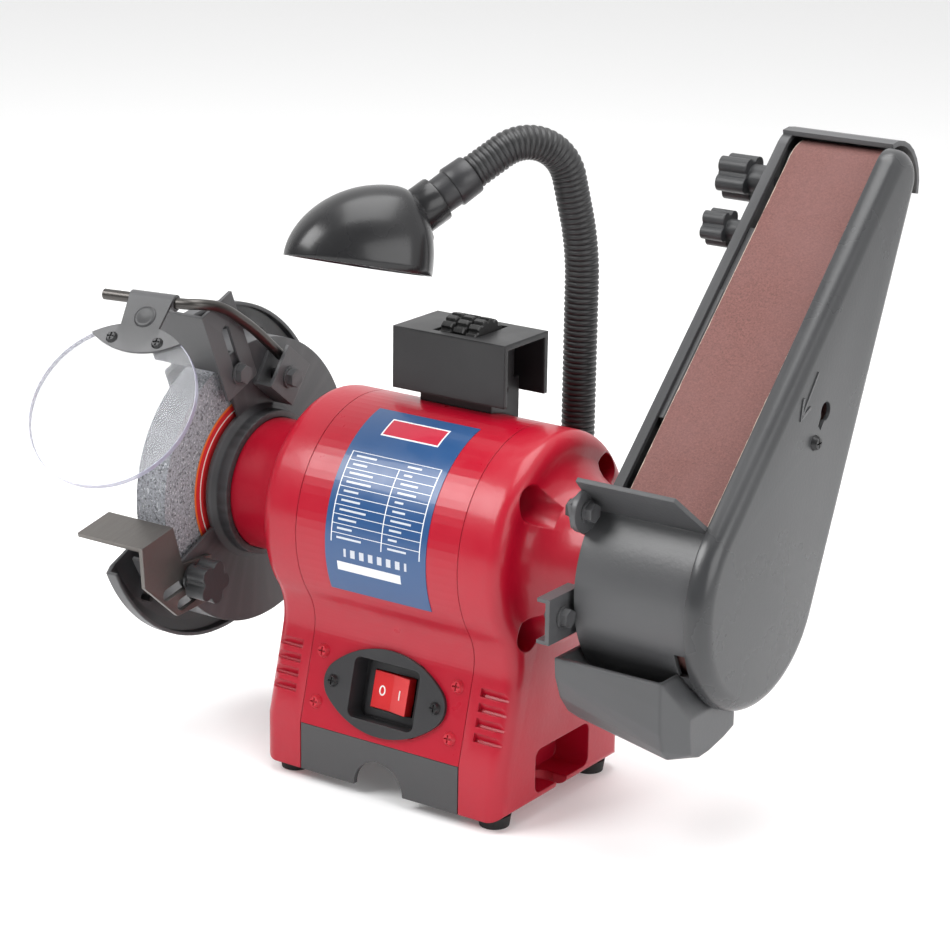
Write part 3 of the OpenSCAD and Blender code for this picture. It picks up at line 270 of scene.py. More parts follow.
def prism(points, x0, x1):
    """A straight bar along X from (y, z) points."""
    mesh = bmesh.new()
    loft(mesh, [[(x, y, z) for y, z in points] for x in (x0, x1)])
    return mesh


def round_box(y0, y1, z0, z1, r):
    """A rectangle with rounded corners."""
    corners = [(y1 - r, z1 - r, 0), (y0 + r, z1 - r, 90), (y0 + r, z0 + r, 180), (y1 - r, z0 + r, 270)]
    return [(y + r * cos(radians(a + t)), z + r * sin(radians(a + t)))
            for y, z, a in corners for t in range(0, 91, 15)]


def mirrored(mesh, side):
    """The same mesh for the right side, turned over for the left one."""
    if side < 0:
        bmesh.ops.scale(mesh, vec=(-1, 1, 1), verts=mesh.verts)
    return mesh


def end_bell(name, side, spigot):
    """One casting: side is -1 on the left; the right one ends in the arm's spigot."""
    shoulder, pocket_reach = 0.009, 0.050
    rings = [(0.0523, 0.0)]
    for t in range(0, 91, 10):
        rings.append((0.078 - shoulder + shoulder * sin(radians(t)), shoulder * (1 - cos(radians(t)))))
    mesh = bmesh.new()
    loft(mesh, [[(x, y, z) for y, z in bell_outline(inset)] for x, inset in rings])
    bell = new_piece(name, "housing", mirrored(mesh, side), red_cast, "red_casting",
                     "left_end_casting" if side < 0 else "right_end_casting")
    neck = [(0.066, 0.052), (0.078, 0.0500), (0.0805, 0.0463), (0.084, 0.0430), (0.089, 0.0402),
            (0.095, 0.0383), (0.102, 0.0373), (0.110, 0.0370)]
    if spigot:
        neck += [(0.116, 0.037), (0.116, 0.030), (0.123, 0.030)]
    else:
        neck += [(0.1182, 0.0370), (0.119, 0.0362)]
    carve(bell, loose(mirrored(turned(neck), side)), operation="UNION")
    tools = [turned([(0.040, 0.020), (0.096, 0.020), (0.096, 0.014), (0.130, 0.014)])]
    for quarter in range(4):
        a = radians(45 + 90 * quarter)
        y, z = pocket_reach * cos(a), SPINDLE + pocket_reach * sin(a)
        tools.append(turned([(0.062, 0.0085), (0.074, 0.009), (0.0765, 0.0095), (0.090, 0.0125)], 40, y, z))
    tools.append(prism(round_box(-0.026, 0.026, 0.006, 0.031, 0.005), 0.057, 0.090))
    tools.append(prism([(-0.005, -0.001), (0.005, -0.001), (0.005, 0.012), (-0.005, 0.012)], 0.069, 0.090))
    slot = bmesh.new()
    round_end = [(0.066 + 0.006 * cos(radians(t)), 0.006 * sin(radians(t))) for t in range(0, 360, 15)]
    loft(slot, [[(x, y, z) for x, y in round_end] for z in (-0.002, 0.012)])
    tools.append(slot)
    for row in range(4):
        tools.append(vent(row))
    carve(bell, *[loose(mirrored(tool, side)) for tool in tools])
    bell.data.polygons.foreach_set("use_smooth", [True] * len(bell.data.polygons))
    bell.data.set_sharp_from_angle(angle=radians(35))


def on_panel(x, up, out):
    """A point in the frame of the sloping switch panel."""
    turn = pi / 2 - LEAN
    return (x, PANEL_Y + up * cos(turn) - out * sin(turn), PANEL_Z + up * sin(turn) + out * cos(turn))


def vent(row):
    """One moulded vent, cut into the front corner of a bell with a sloping floor."""
    mesh = bmesh.new()
    pitch, first = 0.008, -0.012
    low = row * pitch + first
    section = [(low, 0.003), (low + 0.0045, 0.003), (low + 0.0045, -0.0008),
               (low + 0.0012, -0.0026), (low, -0.0022)]
    loft(mesh, [[on_panel(x, up, out) for up, out in section] for x in (0.0585, 0.090)])
    return mesh


end_bell("left_bell", -1, False)
end_bell("right_bell", 1, True)


# ---------------------------------------------------------------- base and switch
# A grey moulded panel closes the base under the wrap. The rocker switch sits in
# a deep black moulding with an oval flange, held by two screws.

def moulded(name, colour, roughness, edge=0.0005, tooth=0.10, grit=900):
    paint = Paint(name, colour, roughness)
    cloud = paint.noise(25, 4)
    paint.set("Base Color", paint.mix(cloud, [c * 0.86 for c in colour], [c * 1.14 for c in colour]))
    paint.set("Roughness", paint.spread(cloud, 0.3, 0.7, roughness - 0.06, roughness + 0.06))
    paint.bump(paint.noise(grit, 3), tooth, 0.0006, edge)
    return paint


grey_plastic = moulded("grey_base_plastic", (0.050, 0.050, 0.052), 0.52)
black_plastic = moulded("black_moulding", (0.022, 0.022, 0.024), 0.40)
rubber = moulded("foot_rubber", (0.012, 0.012, 0.012), 0.75, 0.001, 0.2)
coat_node(grey_plastic, "base_panel")
coat_node(black_plastic, "switch_plate", "switch_body", "cable_gland")
coat_node(rubber, "rubber_feet")

rocker_red = Paint("rocker_red_plastic", (0.60, 0.008, 0.012), 0.30, Coat_Weight=0.2)
rocker_red.set("Base Color", rocker_red.mix(rocker_red.noise(40), (0.56, 0.007, 0.010), (0.64, 0.010, 0.013)))
rocker_red.bump(rocker_red.noise(300, 2), 0.04, 0.0004, 0.0006)
coat_node(rocker_red, "rocker")

screw_black = moulded("blackened_screw_steel", (0.03, 0.03, 0.031), 0.35, 0.0003, 0.08, 1500)
screw_black.set("Metallic", 0.6)
coat_node(screw_black, "switch_screws", "foot_screws", "guard_screws", "shield_screws", "cover_screw")
screw_red = enamel("red_screw_enamel", (0.46, 0.02, 0.035), 0.34, 0.0003)
coat_node(screw_red, "panel_screws")

mark_paint = Paint("switch_mark_white", (0.85, 0.83, 0.80), 0.45)
mark_paint.set("Roughness", mark_paint.spread(mark_paint.noise(300), 0.3, 0.7, 0.4, 0.5))


def on_rocker(x, up, out):
    """A point on the rocker, in the frame of its resting tilt."""
    tilt = radians(8)
    return on_panel(x * cos(tilt) - out * sin(tilt), up, x * sin(tilt) + out * cos(tilt) - 0.011)


def flat_mark(name, outer, inner, face):
    """A printed outline on one face of the rocker, a hair proud of it."""
    mesh = bmesh.new()
    height, ink = 0.00525, 0.00025
    rows = [[mesh.verts.new(on_rocker(face + x, y, height + slope_out(face + x) + lift)) for x, y in ring]
            for lift in (0.0, ink) for ring in (outer, inner)]
    n = len(outer)
    for i in range(n):
        j = (i + 1) % n
        mesh.faces.new((rows[2][i], rows[2][j], rows[3][j], rows[3][i]))
        mesh.faces.new((rows[0][i], rows[0][j], rows[2][j], rows[2][i]))
        mesh.faces.new((rows[1][i], rows[1][j], rows[3][j], rows[3][i]))
    new_piece(name, "switch_rocker", mesh, mark_paint, "white_plastic")


def slope_out(x):
    """The rocker's face stands lowest in the middle and rises to both ends."""
    half, rise = 0.0125, 0.0015
    return -rise / 2 + (abs(x) / half) * rise


def ellipse(a, b, n=28):
    return [(a * cos(2 * pi * i / n), b * sin(2 * pi * i / n)) for i in range(n)]


flat_mark("off_mark", ellipse(0.0020, 0.0028), ellipse(0.0013, 0.0020), -0.0062)
flat_mark("on_mark", [(-0.0004, -0.0026), (0.0004, -0.0026), (0.0004, 0.0026), (-0.0004, 0.0026)],
          [(-0.00005, -0.0023), (0.00005, -0.0023), (0.00005, 0.0023), (-0.00005, 0.0023)], 0.0062)


# ---------------------------------------------------------------- rating label
# A thin printed foil wrapped round the barrel: blue ground, a red banner with a
# white frame, a ruled table with plain bars for entries, and a box at its foot.
label = Paint("printed_foil", (0.015, 0.07, 0.20), 0.33, Coat_Weight=0.25)
across, label_y, label_z = label.axes()
turn = label.node("ShaderNodeMath", {"operation": "ARCTAN2"}, {0: label_z - SPINDLE, 1: 0 - label_y})
LABEL_TOP = 1.3264            # angle up from the front at which the label begins
ROWS, ROW, TABLE_TOP = 10, 0.078, 0.52
TABLE_END = TABLE_TOP + ROWS * ROW
HALF_TABLE, DIVIDER = 0.0285, 0.004
down = LABEL_TOP - turn       # angle down from the label's upper edge


def band(value, low, high):
    return value.above(low) * value.below(high)


table_on = band(down, TABLE_TOP, TABLE_END) * (abs(across)).below(HALF_TABLE)
in_row = label.node("ShaderNodeMath", {"operation": "FRACT"}, {0: (down - TABLE_TOP) / ROW})
rules = (in_row.below(0.07) + band(abs(across - DIVIDER), 0, 0.0003) * down.above(TABLE_TOP + ROW)) * table_on
rules = rules + band(abs(across), 0.0281, 0.0287) * band(down, TABLE_TOP, TABLE_END + 0.05 * ROW)
uneven = label.node("ShaderNodeMath", {"operation": "SINE"}, {0: (down - TABLE_TOP - in_row * ROW) * 57.0})
entry = band(in_row, 0.40, 0.62) * table_on * (
    band(across, -0.0250, -0.0120 + uneven * 0.004) + band(across, 0.0080, 0.0170 + uneven * 0.004))
banner = band(down, 0.11, 0.32) * (abs(across)).below(0.0185)
frame_line = banner * (1 - band(down, 0.125, 0.305) * (abs(across)).below(0.0176))
foot_box = band(down, 1.47, 1.55) * band(across, -0.025, 0.016)
beads = label.node("ShaderNodeMath", {"operation": "FRACT"}, {0: across / 0.0058})
dots = band(beads, 0.25, 0.75) * band(down, 1.35, 1.42) * (abs(across)).below(0.0203) * 0.7
white = (rules + entry * 0.75 + frame_line + (foot_box + dots)).at_most(1.0)
field = label.mix(banner, (0.013, 0.066, 0.19), (0.46, 0.008, 0.035))
label.set("Base Color", label.mix(white, field, (0.72, 0.74, 0.76)))
label.set("Roughness", label.spread(label.noise(80), 0.3, 0.7, 0.28, 0.40))
label.bump(label.noise(500, 2), 0.05, 0.0003, 0.0002)
coat_node(label, "data_label")


# ---------------------------------------------------------------- motor inside
# Steel laminations, copper windings and the ground steel spindle show only
# through the bolt pockets and the bench recess, but each has its own finish.
def metal(name, colour, roughness, edge=0.0004, brushed=(60, 60, 60), scratch=0.08):
    paint = Paint(name, colour, roughness, 1.0)
    lines = paint.noise(30, 6, 0.7, paint.stretched(brushed))
    paint.set("Base Color", paint.mix(lines, [c * 0.8 for c in colour], [min(1, c * 1.15) for c in colour]))
    paint.set("Roughness", paint.spread(lines, 0.3, 0.7, roughness - 0.09, roughness + 0.1))
    paint.bump(lines, scratch, 0.0003, edge)
    return paint


turned_steel = metal("turned_steel", (0.50, 0.50, 0.51), 0.30, brushed=(900, 20, 20))
zinc = metal("zinc_plated_steel", (0.42, 0.42, 0.43), 0.38)
laminations = metal("core_laminations", (0.20, 0.20, 0.21), 0.45, brushed=(1500, 5, 5), scratch=0.4)
copper = metal("copper_wire", (0.62, 0.27, 0.12), 0.35, brushed=(20, 500, 500), scratch=0.6)
coat_node(turned_steel, "spindle", "wheel_flanges", "bearings", "drive_drum", "idler_yoke")
coat_node(zinc, "tie_bolts", "wheel_nut", "drum_nut")
coat_node(laminations, "stator", "rotor")
coat_node(copper, "windings")
pale_plastic = moulded("pale_moulding", (0.62, 0.60, 0.55), 0.42, 0.0008)
coat_node(pale_plastic, "capacitor", "idler_drum")


# ---------------------------------------------------------------- wheel guards
# Black painted pressings: an inner guard bolted to the neck and a dished outer
# guard, both open at the front. The paint is satin with a slight leather grain.
def black_paint(name, colour, roughness, edge, skin=0.10, edge_lift=0.5):
    paint = Paint(name, colour, roughness, Coat_Weight=0.1, Coat_Roughness=0.3, Specular_IOR_Level=0.42)
    cloud = paint.noise(14, 5)
    clouded = paint.mix(cloud, [c * 0.8 for c in colour], [c * 1.25 for c in colour])
    # Sharp convex edges are lightened towards a pale grey.
    paint.set("Base Color", paint.mix(sharp_edge_share(paint, edge_lift), clouded, (0.13, 0.13, 0.135)))
    paint.set("Roughness", paint.spread(cloud, 0.3, 0.7, roughness - 0.07, roughness + 0.08))
    paint.bump(paint.noise(520, 3), skin, 0.0006, edge)
    return paint


BLACK = (0.017, 0.0175, 0.019)
satin_black = black_paint("satin_black_paint", BLACK, 0.42, 0.0006)
pressed_black = black_paint("pressed_guard_paint", (0.028, 0.0285, 0.031), 0.42, 0.0016)
coat_node(pressed_black, "inner_guard", "outer_guard")
coat_node(satin_black, "spark_arrestor", "shield_bracket", "guard_bolts")


# ---------------------------------------------------------------- grinding wheel
# Grey aluminium-oxide stone: coarse grit in a paler bond, with dark and bright
# grains, and red paper washers that carry a white ring and an orange rim.
stone = Paint("vitrified_stone", (0.22, 0.23, 0.25), 0.92)
grit = stone.noise(700, 6, 0.75)
chips = stone.grain(1100)
dark = stone.spread(stone.noise(620, 2), 0.56, 0.64, 0.0, 1.0)
pale = stone.spread(stone.noise(700, 2, 0.5, stone.stretched((1, 1.3, 0.9))), 0.60, 0.68, 0.0, 1.0)
bond = stone.mix(stone.spread(grit, 0.35, 0.65, 0.0, 1.0), (0.165, 0.17, 0.187), (0.36, 0.37, 0.395))
grained = stone.mix(dark * 0.8, bond, (0.075, 0.077, 0.085))
stone.set("Base Color", stone.mix(pale * 0.8, grained, (0.56, 0.57, 0.60)))
stone.bump(grit + chips * 0.5, 0.6, 0.0007, 0.0008)
coat_node(stone, "grinding_wheel")

washer = Paint("wheel_washer_paper", (0.60, 0.02, 0.02), 0.6)
_, washer_y, washer_z = washer.axes()
reach = (washer_y * washer_y + (washer_z - SPINDLE) * (washer_z - SPINDLE)) ** 0.5
printed = washer.mix(band(reach, 0.0486, 0.0502), (0.62, 0.018, 0.022), (0.75, 0.16, 0.02))
printed = washer.mix(band(reach, 0.0446, 0.0454) + band(reach, 0.0300, 0.0307), printed, (0.80, 0.74, 0.70))
washer.set("Base Color", printed)
washer.set("Roughness", washer.spread(washer.noise(200), 0.3, 0.7, 0.5, 0.7))
washer.bump(washer.noise(900, 2), 0.15, 0.0004)
coat_node(washer, "wheel_labels")


# ---------------------------------------------------------------- eye shield
# A clear acrylic disc held by two screws under a black steel crescent, which is
# rolled round a bent rod. The sawn edge of the disc glows with caught light.
acrylic = Paint("clear_acrylic", (0.88, 0.90, 0.96), 0.06, IOR=1.49)
ROD_MID, ROD_R = Vector((-0.150, -0.0605, 0.2465)), 0.003
shield_frame = (Matrix.Translation(ROD_MID) @ Matrix.Rotation(radians(10), 4, "Z")
                @ Matrix.Rotation(radians(-42), 4, "X"))
disc_centre = shield_frame @ Vector((0, -0.00155, -0.065))
gap = acrylic.node("ShaderNodeVectorMath", {"operation": "DISTANCE"},
                   {0: acrylic.place(), 1: disc_centre}, "Value")
sawn = gap.above(0.0476)
faint = acrylic.noise(30, 4)
acrylic.set("Base Color", acrylic.mix(sawn, (0.30, 0.31, 0.33), (0.26, 0.26, 0.34)))
acrylic.set("Alpha", acrylic.spread(sawn, 0.0, 1.0, 0.0, 0.60) + acrylic.spread(faint, 0.3, 0.7, 0.17, 0.21))
acrylic.set("Roughness", acrylic.spread(faint, 0.3, 0.7, 0.03, 0.10))
coat_node(acrylic, "eye_shield")
coat_node(satin_black, "shield_clip")
rod_steel = metal("oiled_rod_steel", (0.085, 0.08, 0.076), 0.36, 0.0003, (20, 200, 200))


def swept(mesh, path, radius_at, sides, lead=None):
    """Rings along a path of points; radius_at gives the ring's radius for each."""
    rings = []
    normal = lead or Vector((1, 0, 0))
    for i, p in enumerate(path):
        ahead = (path[min(i + 1, len(path) - 1)] - path[max(i - 1, 0)]).normalized()
        normal = (normal - ahead * normal.dot(ahead)).normalized()
        other = ahead.cross(normal)
        r = radius_at(i)
        rings.append([p + (normal * cos(2 * pi * k / sides) + other * sin(2 * pi * k / sides)) * r
                      for k in range(sides)])
    loft(mesh, rings)
    return mesh


def eased(points, bend, steps=8):
    """A polyline with its corners rounded off, bend metres before and after each."""
    path = [points[0]]
    for before, corner, after in zip(points, points[1:], points[2:]):
        start = corner + (before - corner).normalized() * min(bend, (before - corner).length * 0.48)
        stop = corner + (after - corner).normalized() * min(bend, (after - corner).length * 0.48)
        for i in range(steps + 1):
            t = i / steps
            path.append(start * (1 - t) ** 2 + corner * 2 * t * (1 - t) + stop * t * t)
    return path + [points[-1]]


# The rod runs level behind the clip, then bends back and down to its bracket
along = Vector((cos(radians(10)), sin(radians(10)), 0))
rod_x = -0.1214
corners = [ROD_MID - along * 0.031, ROD_MID + along * 0.019, Vector((rod_x - 0.004, -0.052, ROD_MID.z)),
           Vector((rod_x, -0.038, 0.243)), Vector((rod_x, -0.012, 0.226)), Vector((rod_x, 0.015, 0.203))]
rod_path = eased(corners, 0.012)
rod_path.insert(0, rod_path[0] - along * 0.0004)
rod = swept(bmesh.new(), rod_path, lambda i: ROD_R * (0.85 if i == 0 else 1), 28, Vector((0, 0, 1)))
new_piece("bent_rod", "rod", rod, rod_steel, "bent_rod", "shield_rod")

# A round dimple is pressed into the clip over its spot weld
dimple = [(0.0000, 0.0064), (0.0005, 0.0061), (0.0009, 0.0054), (0.0008, 0.0042), (0.0004, 0.0020)]
weld = Vector((0.001, -0.00455, -0.0125))
around = [2 * pi * i / 40 for i in range(40)]
mesh = bmesh.new()
loft(mesh, [[shield_frame @ (weld + Vector((r * cos(a), -out, r * sin(a)))) for a in around]
            for out, r in dimple])
new_piece("clip_dimple", "shield", mesh, satin_black, "black_steel")


# ---------------------------------------------------------------- tool rest
# Bent mild steel with a blackened, slightly rusty finish, rubbed bright along
# the edges; a five-lobed moulded knob clamps it to the guard.
worn = Paint("blackened_mild_steel", (0.10, 0.09, 0.085), 0.45, 0.75)
rust = worn.spread(worn.noise(45, 6, 0.7), 0.50, 0.72, 0.0, 1.0)
scuff = worn.noise(50, 6, 0.8, worn.stretched((8, 1, 1)))
scuffed = worn.mix(scuff, (0.026, 0.023, 0.022), (0.058, 0.051, 0.049))
rusted = worn.mix(rust * 0.6, scuffed, (0.085, 0.052, 0.038))
worn.set("Base Color", worn.mix(sharp_edge_share(worn, 0.8), rusted, (0.17, 0.16, 0.15)))
worn.set("Roughness", worn.spread(scuff, 0.3, 0.7, 0.36, 0.58))
worn.bump(scuff + rust * 0.3, 0.18, 0.0005, 0.0005)
coat_node(worn, "tool_rest")
knob_black = moulded("knob_moulding", (0.026, 0.027, 0.029), 0.46, 0.0012, 0.14, 700)
coat_node(knob_black, "rest_knob", "tension_knob", "tracking_knob")


# ---------------------------------------------------------------- belt arm
# The arm is a pressed plate with a folded rim, hung from the motor's spigot. It
# carries the platen, the sprung idler and a bowl-edged cover that keeps the
# belt in; everything is satin black, the cover a shade glossier.
coat_node(satin_black, "arm_frame", "platen", "tray_bracket", "arm_bolts")
plate_black = black_paint("guard_sheet_paint", (0.034, 0.035, 0.037), 0.40, 0.0010, 0.14, 0.35)
coat_node(plate_black, "belt_guard")
tray_grey = black_paint("dust_tray_paint", (0.058, 0.059, 0.062), 0.42, 0.0030, 0.12, 0.1)
coat_node(tray_grey, "dust_tray")

ARM_LEAN = radians(38.5)


def up_arm(u, w):
    """(y, z) of a point u along the arm from the spindle and w towards the working run."""
    return (u * sin(ARM_LEAN) - w * cos(ARM_LEAN), SPINDLE + u * cos(ARM_LEAN) + w * sin(ARM_LEAN))


def strap_outline(low, top, inset=0.0, steps=(72, 40)):
    """Two circles and their tangents, as a belt would run round them."""
    (u0, w0, r0), (u1, w1, r1) = low, top
    face = math.atan2(w1 - w0, u1 - u0)
    open_a = math.acos((r0 - r1) / math.hypot(u1 - u0, w1 - w0))
    ring = []
    for (u, w, r), start, sweep, n in ((low, face + open_a, 2 * pi - 2 * open_a, steps[0]),
                                       (top, face - open_a, 2 * open_a, steps[1])):
        for i in range(n + 1):
            a = start + sweep * i / n
            ring.append(up_arm(u + (r - inset) * cos(a), w + (r - inset) * sin(a)))
    return ring


# The cover's rim is lofted from its open edge to its face, inside and outside
COVER_LOW, COVER_TOP = (0, 0, 0.060), (0.230, 0.016, 0.016)
COVER_X, COVER_FACE, LIP = 0.184, 0.196, 0.0085
outside = [(COVER_X, 0.0), (COVER_X + 0.0006, -0.0003)] + [
    (COVER_FACE - LIP + LIP * sin(radians(t)), LIP * (1 - cos(radians(t)))) for t in range(0, 91, 10)]
inside = [(COVER_FACE - 0.0022, LIP), (0.1930, 0.0045), (0.1900, 0.0026), (COVER_X, 0.0024)]
mesh = bmesh.new()
rings = [[(x, y, z) for y, z in strap_outline(COVER_LOW, COVER_TOP, inset)] for x, inset in outside + inside]
skins = loft(mesh, rings, closed_ends=False)
outer_face, inner_face = skins[len(outside) - 1], skins[len(outside)]
mesh.faces.new(outer_face)
mesh.faces.new(inner_face)
between = set(outer_face + inner_face)
for face in [f for f in mesh.faces if len(f.verts) == 4 and all(v in between for v in f.verts)]:
    mesh.faces.remove(face)
for i in range(len(skins[0])):
    j = (i + 1) % len(skins[0])
    mesh.faces.new((skins[-1][i], skins[-1][j], skins[0][j], skins[0][i]))
cover_gloss = black_paint("cover_gloss_paint", (0.036, 0.037, 0.039), 0.30, 0.0005, 0.10, 0.25)
cover = new_piece("belt_cover", "arm", mesh, cover_gloss, "black_steel", "arm_cover")


def arm_prism(points, x0, x1):
    """A straight bar along X from points in the arm's own frame."""
    return prism([up_arm(u, w) for u, w in points], x0, x1)


def round_points(u, w, r, start=0, stop=360, step=12):
    """Points round a circle, or part of one, from start to stop degrees."""
    return [(u + r * cos(radians(a)), w + r * sin(radians(a))) for a in range(start, stop, step)]


keyhole = round_points(0.100, 0.0100, 0.0050, -155, 156) + [(0.0905, 0.0118), (0.0900, 0.0080)]
screw_hole = round_points(0.0825, 0.0088, 0.0022)
carve(cover, *[loose(arm_prism(outline, 0.190, 0.200)) for outline in (keyhole, screw_hole)])
cover.data.polygons.foreach_set("use_smooth", [True] * len(cover.data.polygons))
cover.data.set_sharp_from_angle(angle=radians(35))

shaft = [(0.085, 0.0312), (0.1115, 0.0312), (0.1115, 0.0324), (0.087, 0.0324)]
barb = [(0.0835, 0.0318), (0.0935, 0.0372), (0.0950, 0.0360),
        (0.0866, 0.0318), (0.0945, 0.0274), (0.0930, 0.0263)]
for part_name, outline in (("arrow_shaft", shaft), ("arrow_head", barb)):
    new_piece(part_name, "arm", arm_prism(outline, 0.1958, 0.1966), cover_gloss, "black_steel", smooth=False)


# ---------------------------------------------------------------- abrasive belt
# Brown aluminium-oxide cloth, gritty on the outside, with pale frayed edges
# where the cloth backing shows.
cloth = Paint("abrasive_cloth", (0.27, 0.12, 0.11), 0.85)
belt_x, _, _ = cloth.axes()
sand = cloth.noise(900, 4, 0.8)
drift = cloth.noise(18, 5, 0.6)
tone = cloth.mix(cloth.spread(sand, 0.35, 0.65, 0.0, 1.0), (0.105, 0.042, 0.036), (0.215, 0.094, 0.083))
tone = cloth.mix(cloth.spread(drift, 0.35, 0.7, 0.0, 0.45), tone, (0.20, 0.10, 0.095))
BELT_MID, FRAYED_FROM = 0.1537, 0.0254
fray = (abs(belt_x - BELT_MID) + cloth.noise(160, 3) * 0.0014).above(FRAYED_FROM)
cloth.set("Base Color", cloth.mix(fray * 0.75, tone, (0.52, 0.44, 0.36)))
cloth.set("Roughness", cloth.spread(sand, 0.3, 0.7, 0.72, 0.95))
cloth.bump(sand, 0.55, 0.0005)
coat_node(cloth, "sanding_belt")


# ---------------------------------------------------------------- tension spring
# A coil of plated wire on the idler's stem pushes the yoke up the arm and keeps
# the belt tight.
TURNS, PER_TURN = 8, 24
COIL_R, WIRE_R, COIL_FROM, COIL_LONG, STEM_X = 0.0034, 0.0006, 0.1672, 0.0218, 0.129
coil = []
for i in range(TURNS * PER_TURN + 1):
    a = 2 * pi * i / PER_TURN
    y, z = up_arm(COIL_FROM + COIL_LONG * i / (TURNS * PER_TURN), COIL_R * sin(a))
    coil.append(Vector((STEM_X + COIL_R * cos(a), y, z)))
spring = swept(bmesh.new(), coil, lambda i: WIRE_R, 8)
new_piece("spring_coil", "arm", spring, zinc, "steel", "tension_spring")


# ---------------------------------------------------------------- gooseneck lamp
# A ribbed steel conduit stands in a socket behind the motor and bends over to a
# glossy black hood. It stays where it is put; the hood turns on its collar.
STALK = Matrix.Translation((0.036, 0.0734, 0.145)) @ Matrix.Rotation(radians(237), 4, "Z")
SWEEP, BEND = radians(13), radians(122)


def stalk_point(s, z):
    """A point of the upright plane the conduit bends in, s out from its foot."""
    return STALK @ Vector((s, 0, z))


def arc_points(cs, cz, r, a0, a1, step):
    """Points along an arc, its first one left out."""
    count = max(2, int(abs(a1 - a0) * r / step))
    return [(cs + r * cos(a0 + (a1 - a0) * i / count), cz + r * sin(a0 + (a1 - a0) * i / count))
            for i in range(1, count + 1)]


def straight(start, direction, length, step):
    """Points along a line, its first one left out."""
    count = max(2, int(length / step))
    return [(start[0] + direction[0] * length * i / count, start[1] + direction[1] * length * i / count)
            for i in range(1, count + 1)]


rib, fine = 0.0030, 0.0005
upright, wide, tight = 0.114, 0.170, 0.026
line = [(0.0, 0.0)] + straight((0, 0), (0, 1), upright, fine)
line += arc_points(wide, upright, wide, pi, pi - SWEEP, fine)
line += straight(line[-1], (sin(SWEEP), cos(SWEEP)), 0.020, fine)
bend_at = (line[-1][0] + tight * cos(SWEEP), line[-1][1] - tight * sin(SWEEP))
line += arc_points(*bend_at, tight, pi - SWEEP, pi - BEND, fine)
head = (sin(BEND), cos(BEND))
line += straight(line[-1], head, 0.024, fine)
sleeve_end = line[-1]
ring_at = (sleeve_end[0] + 0.033 * head[0], sleeve_end[1] + 0.033 * head[1])
conduit_path = [stalk_point(s, z) for s, z in line]
run = [0.0]
for p, q in zip(conduit_path, conduit_path[1:]):
    run.append(run[-1] + (q - p).length)


def conduit_radius(i):
    """The conduit's radius at one step of its run: rounded ribs, narrow grooves."""
    wave = abs(cos(pi * run[i] / rib))
    return 0.0084 + 0.0009 * wave ** 0.7


conduit_black = moulded("conduit_black", (0.022, 0.022, 0.023), 0.42, 0.0, 0.12, 700)
ahead = STALK.to_3x3() @ Vector((0, 1, 0))
new_piece("ribbed_conduit", "lamp_stalk", swept(bmesh.new(), conduit_path, conduit_radius, 36, ahead),
          conduit_black, "black_steel", "gooseneck")
coat_node(satin_black, "lamp_mount")

hood_gloss = Paint("hood_gloss_black", (0.010, 0.010, 0.011), 0.24, Coat_Weight=0.1, Coat_Roughness=0.12,
                   Specular_IOR_Level=0.36)
hood_cloud = hood_gloss.noise(12)
hood_gloss.set("Base Color", hood_gloss.mix(hood_cloud, (0.010, 0.010, 0.011), (0.018, 0.018, 0.019)))
hood_gloss.set("Roughness", hood_gloss.spread(hood_gloss.noise(30, 4), 0.3, 0.7, 0.22, 0.32))
hood_gloss.bump(hood_gloss.noise(70, 2), 0.03, 0.0008, 0.0006)

# Sleeve and collar: a smooth moulded sleeve in two steps, then a plain glossy nut
axis_dir = (STALK.to_3x3() @ Vector((head[0], 0, head[1]))).normalized()


def on_axis(profile, body, name, finish, slot, *stands_for, sides=64):
    """Turned about the lamp head's own axis from (distance past the conduit, radius)."""
    start = stalk_point(*sleeve_end)
    mesh = swept(bmesh.new(), [start + axis_dir * d for d, _ in profile],
                 lambda i: profile[i][1], sides, ahead)
    return new_piece(name, body, mesh, finish, slot, *stands_for)


def rim(d0, d1, r, soft):
    """A drum with softened corners, as (distance, radius) pairs."""
    return [(d0, r - soft), (d0 + soft * 0.3, r - soft * 0.3), (d0 + soft, r),
            (d1 - soft, r), (d1 - soft * 0.3, r - soft * 0.3), (d1, r - soft)]


grip = [(-0.0040, 0.0096), (-0.0038, 0.0104), (-0.0030, 0.0108), (0.0084, 0.0112), (0.0090, 0.0108),
        (0.0092, 0.0101), (0.0170, 0.0099), (0.0178, 0.0095)]
on_axis(grip, "lamp_stalk", "collar_grip", black_plastic, "gloss_black", "lamp_collar")
on_axis(rim(0.0180, 0.0326, 0.0125, 0.0012), "lamp_stalk", "collar_nut", hood_gloss, "gloss_black")

# The hood: half an egg, open below
HOOD = (STALK @ Matrix.Translation((ring_at[0], 0, ring_at[1])) @ Matrix.Rotation(radians(-12.7), 4, "Y")
        @ Matrix.Rotation(radians(10.5), 4, "X"))
BACK, WIDEST, TIP, RIM_Z = -0.0110, 0.0135, 0.0680, -0.0310
HALF_WIDE, TALL = 0.0318, 0.0440


def hood_width(x):
    """Half the hood's width, x from its collar towards its tip."""
    if x > WIDEST:
        return HALF_WIDE * max(0.0, 1 - ((x - WIDEST) / (TIP - WIDEST)) ** 2.0) ** 0.50
    return HALF_WIDE * sqrt(max(0.0, 1 - ((WIDEST - x) / (WIDEST - BACK)) ** 2))


def hood_height(x):
    """The height of its ridge above the rim."""
    if x > WIDEST:
        return TALL * max(0.0, 1 - ((x - WIDEST) / (TIP - WIDEST)) ** 1.9) ** 0.56
    return TALL * sqrt(max(0.0, 1 - ((WIDEST - x) / (WIDEST - BACK)) ** 2))


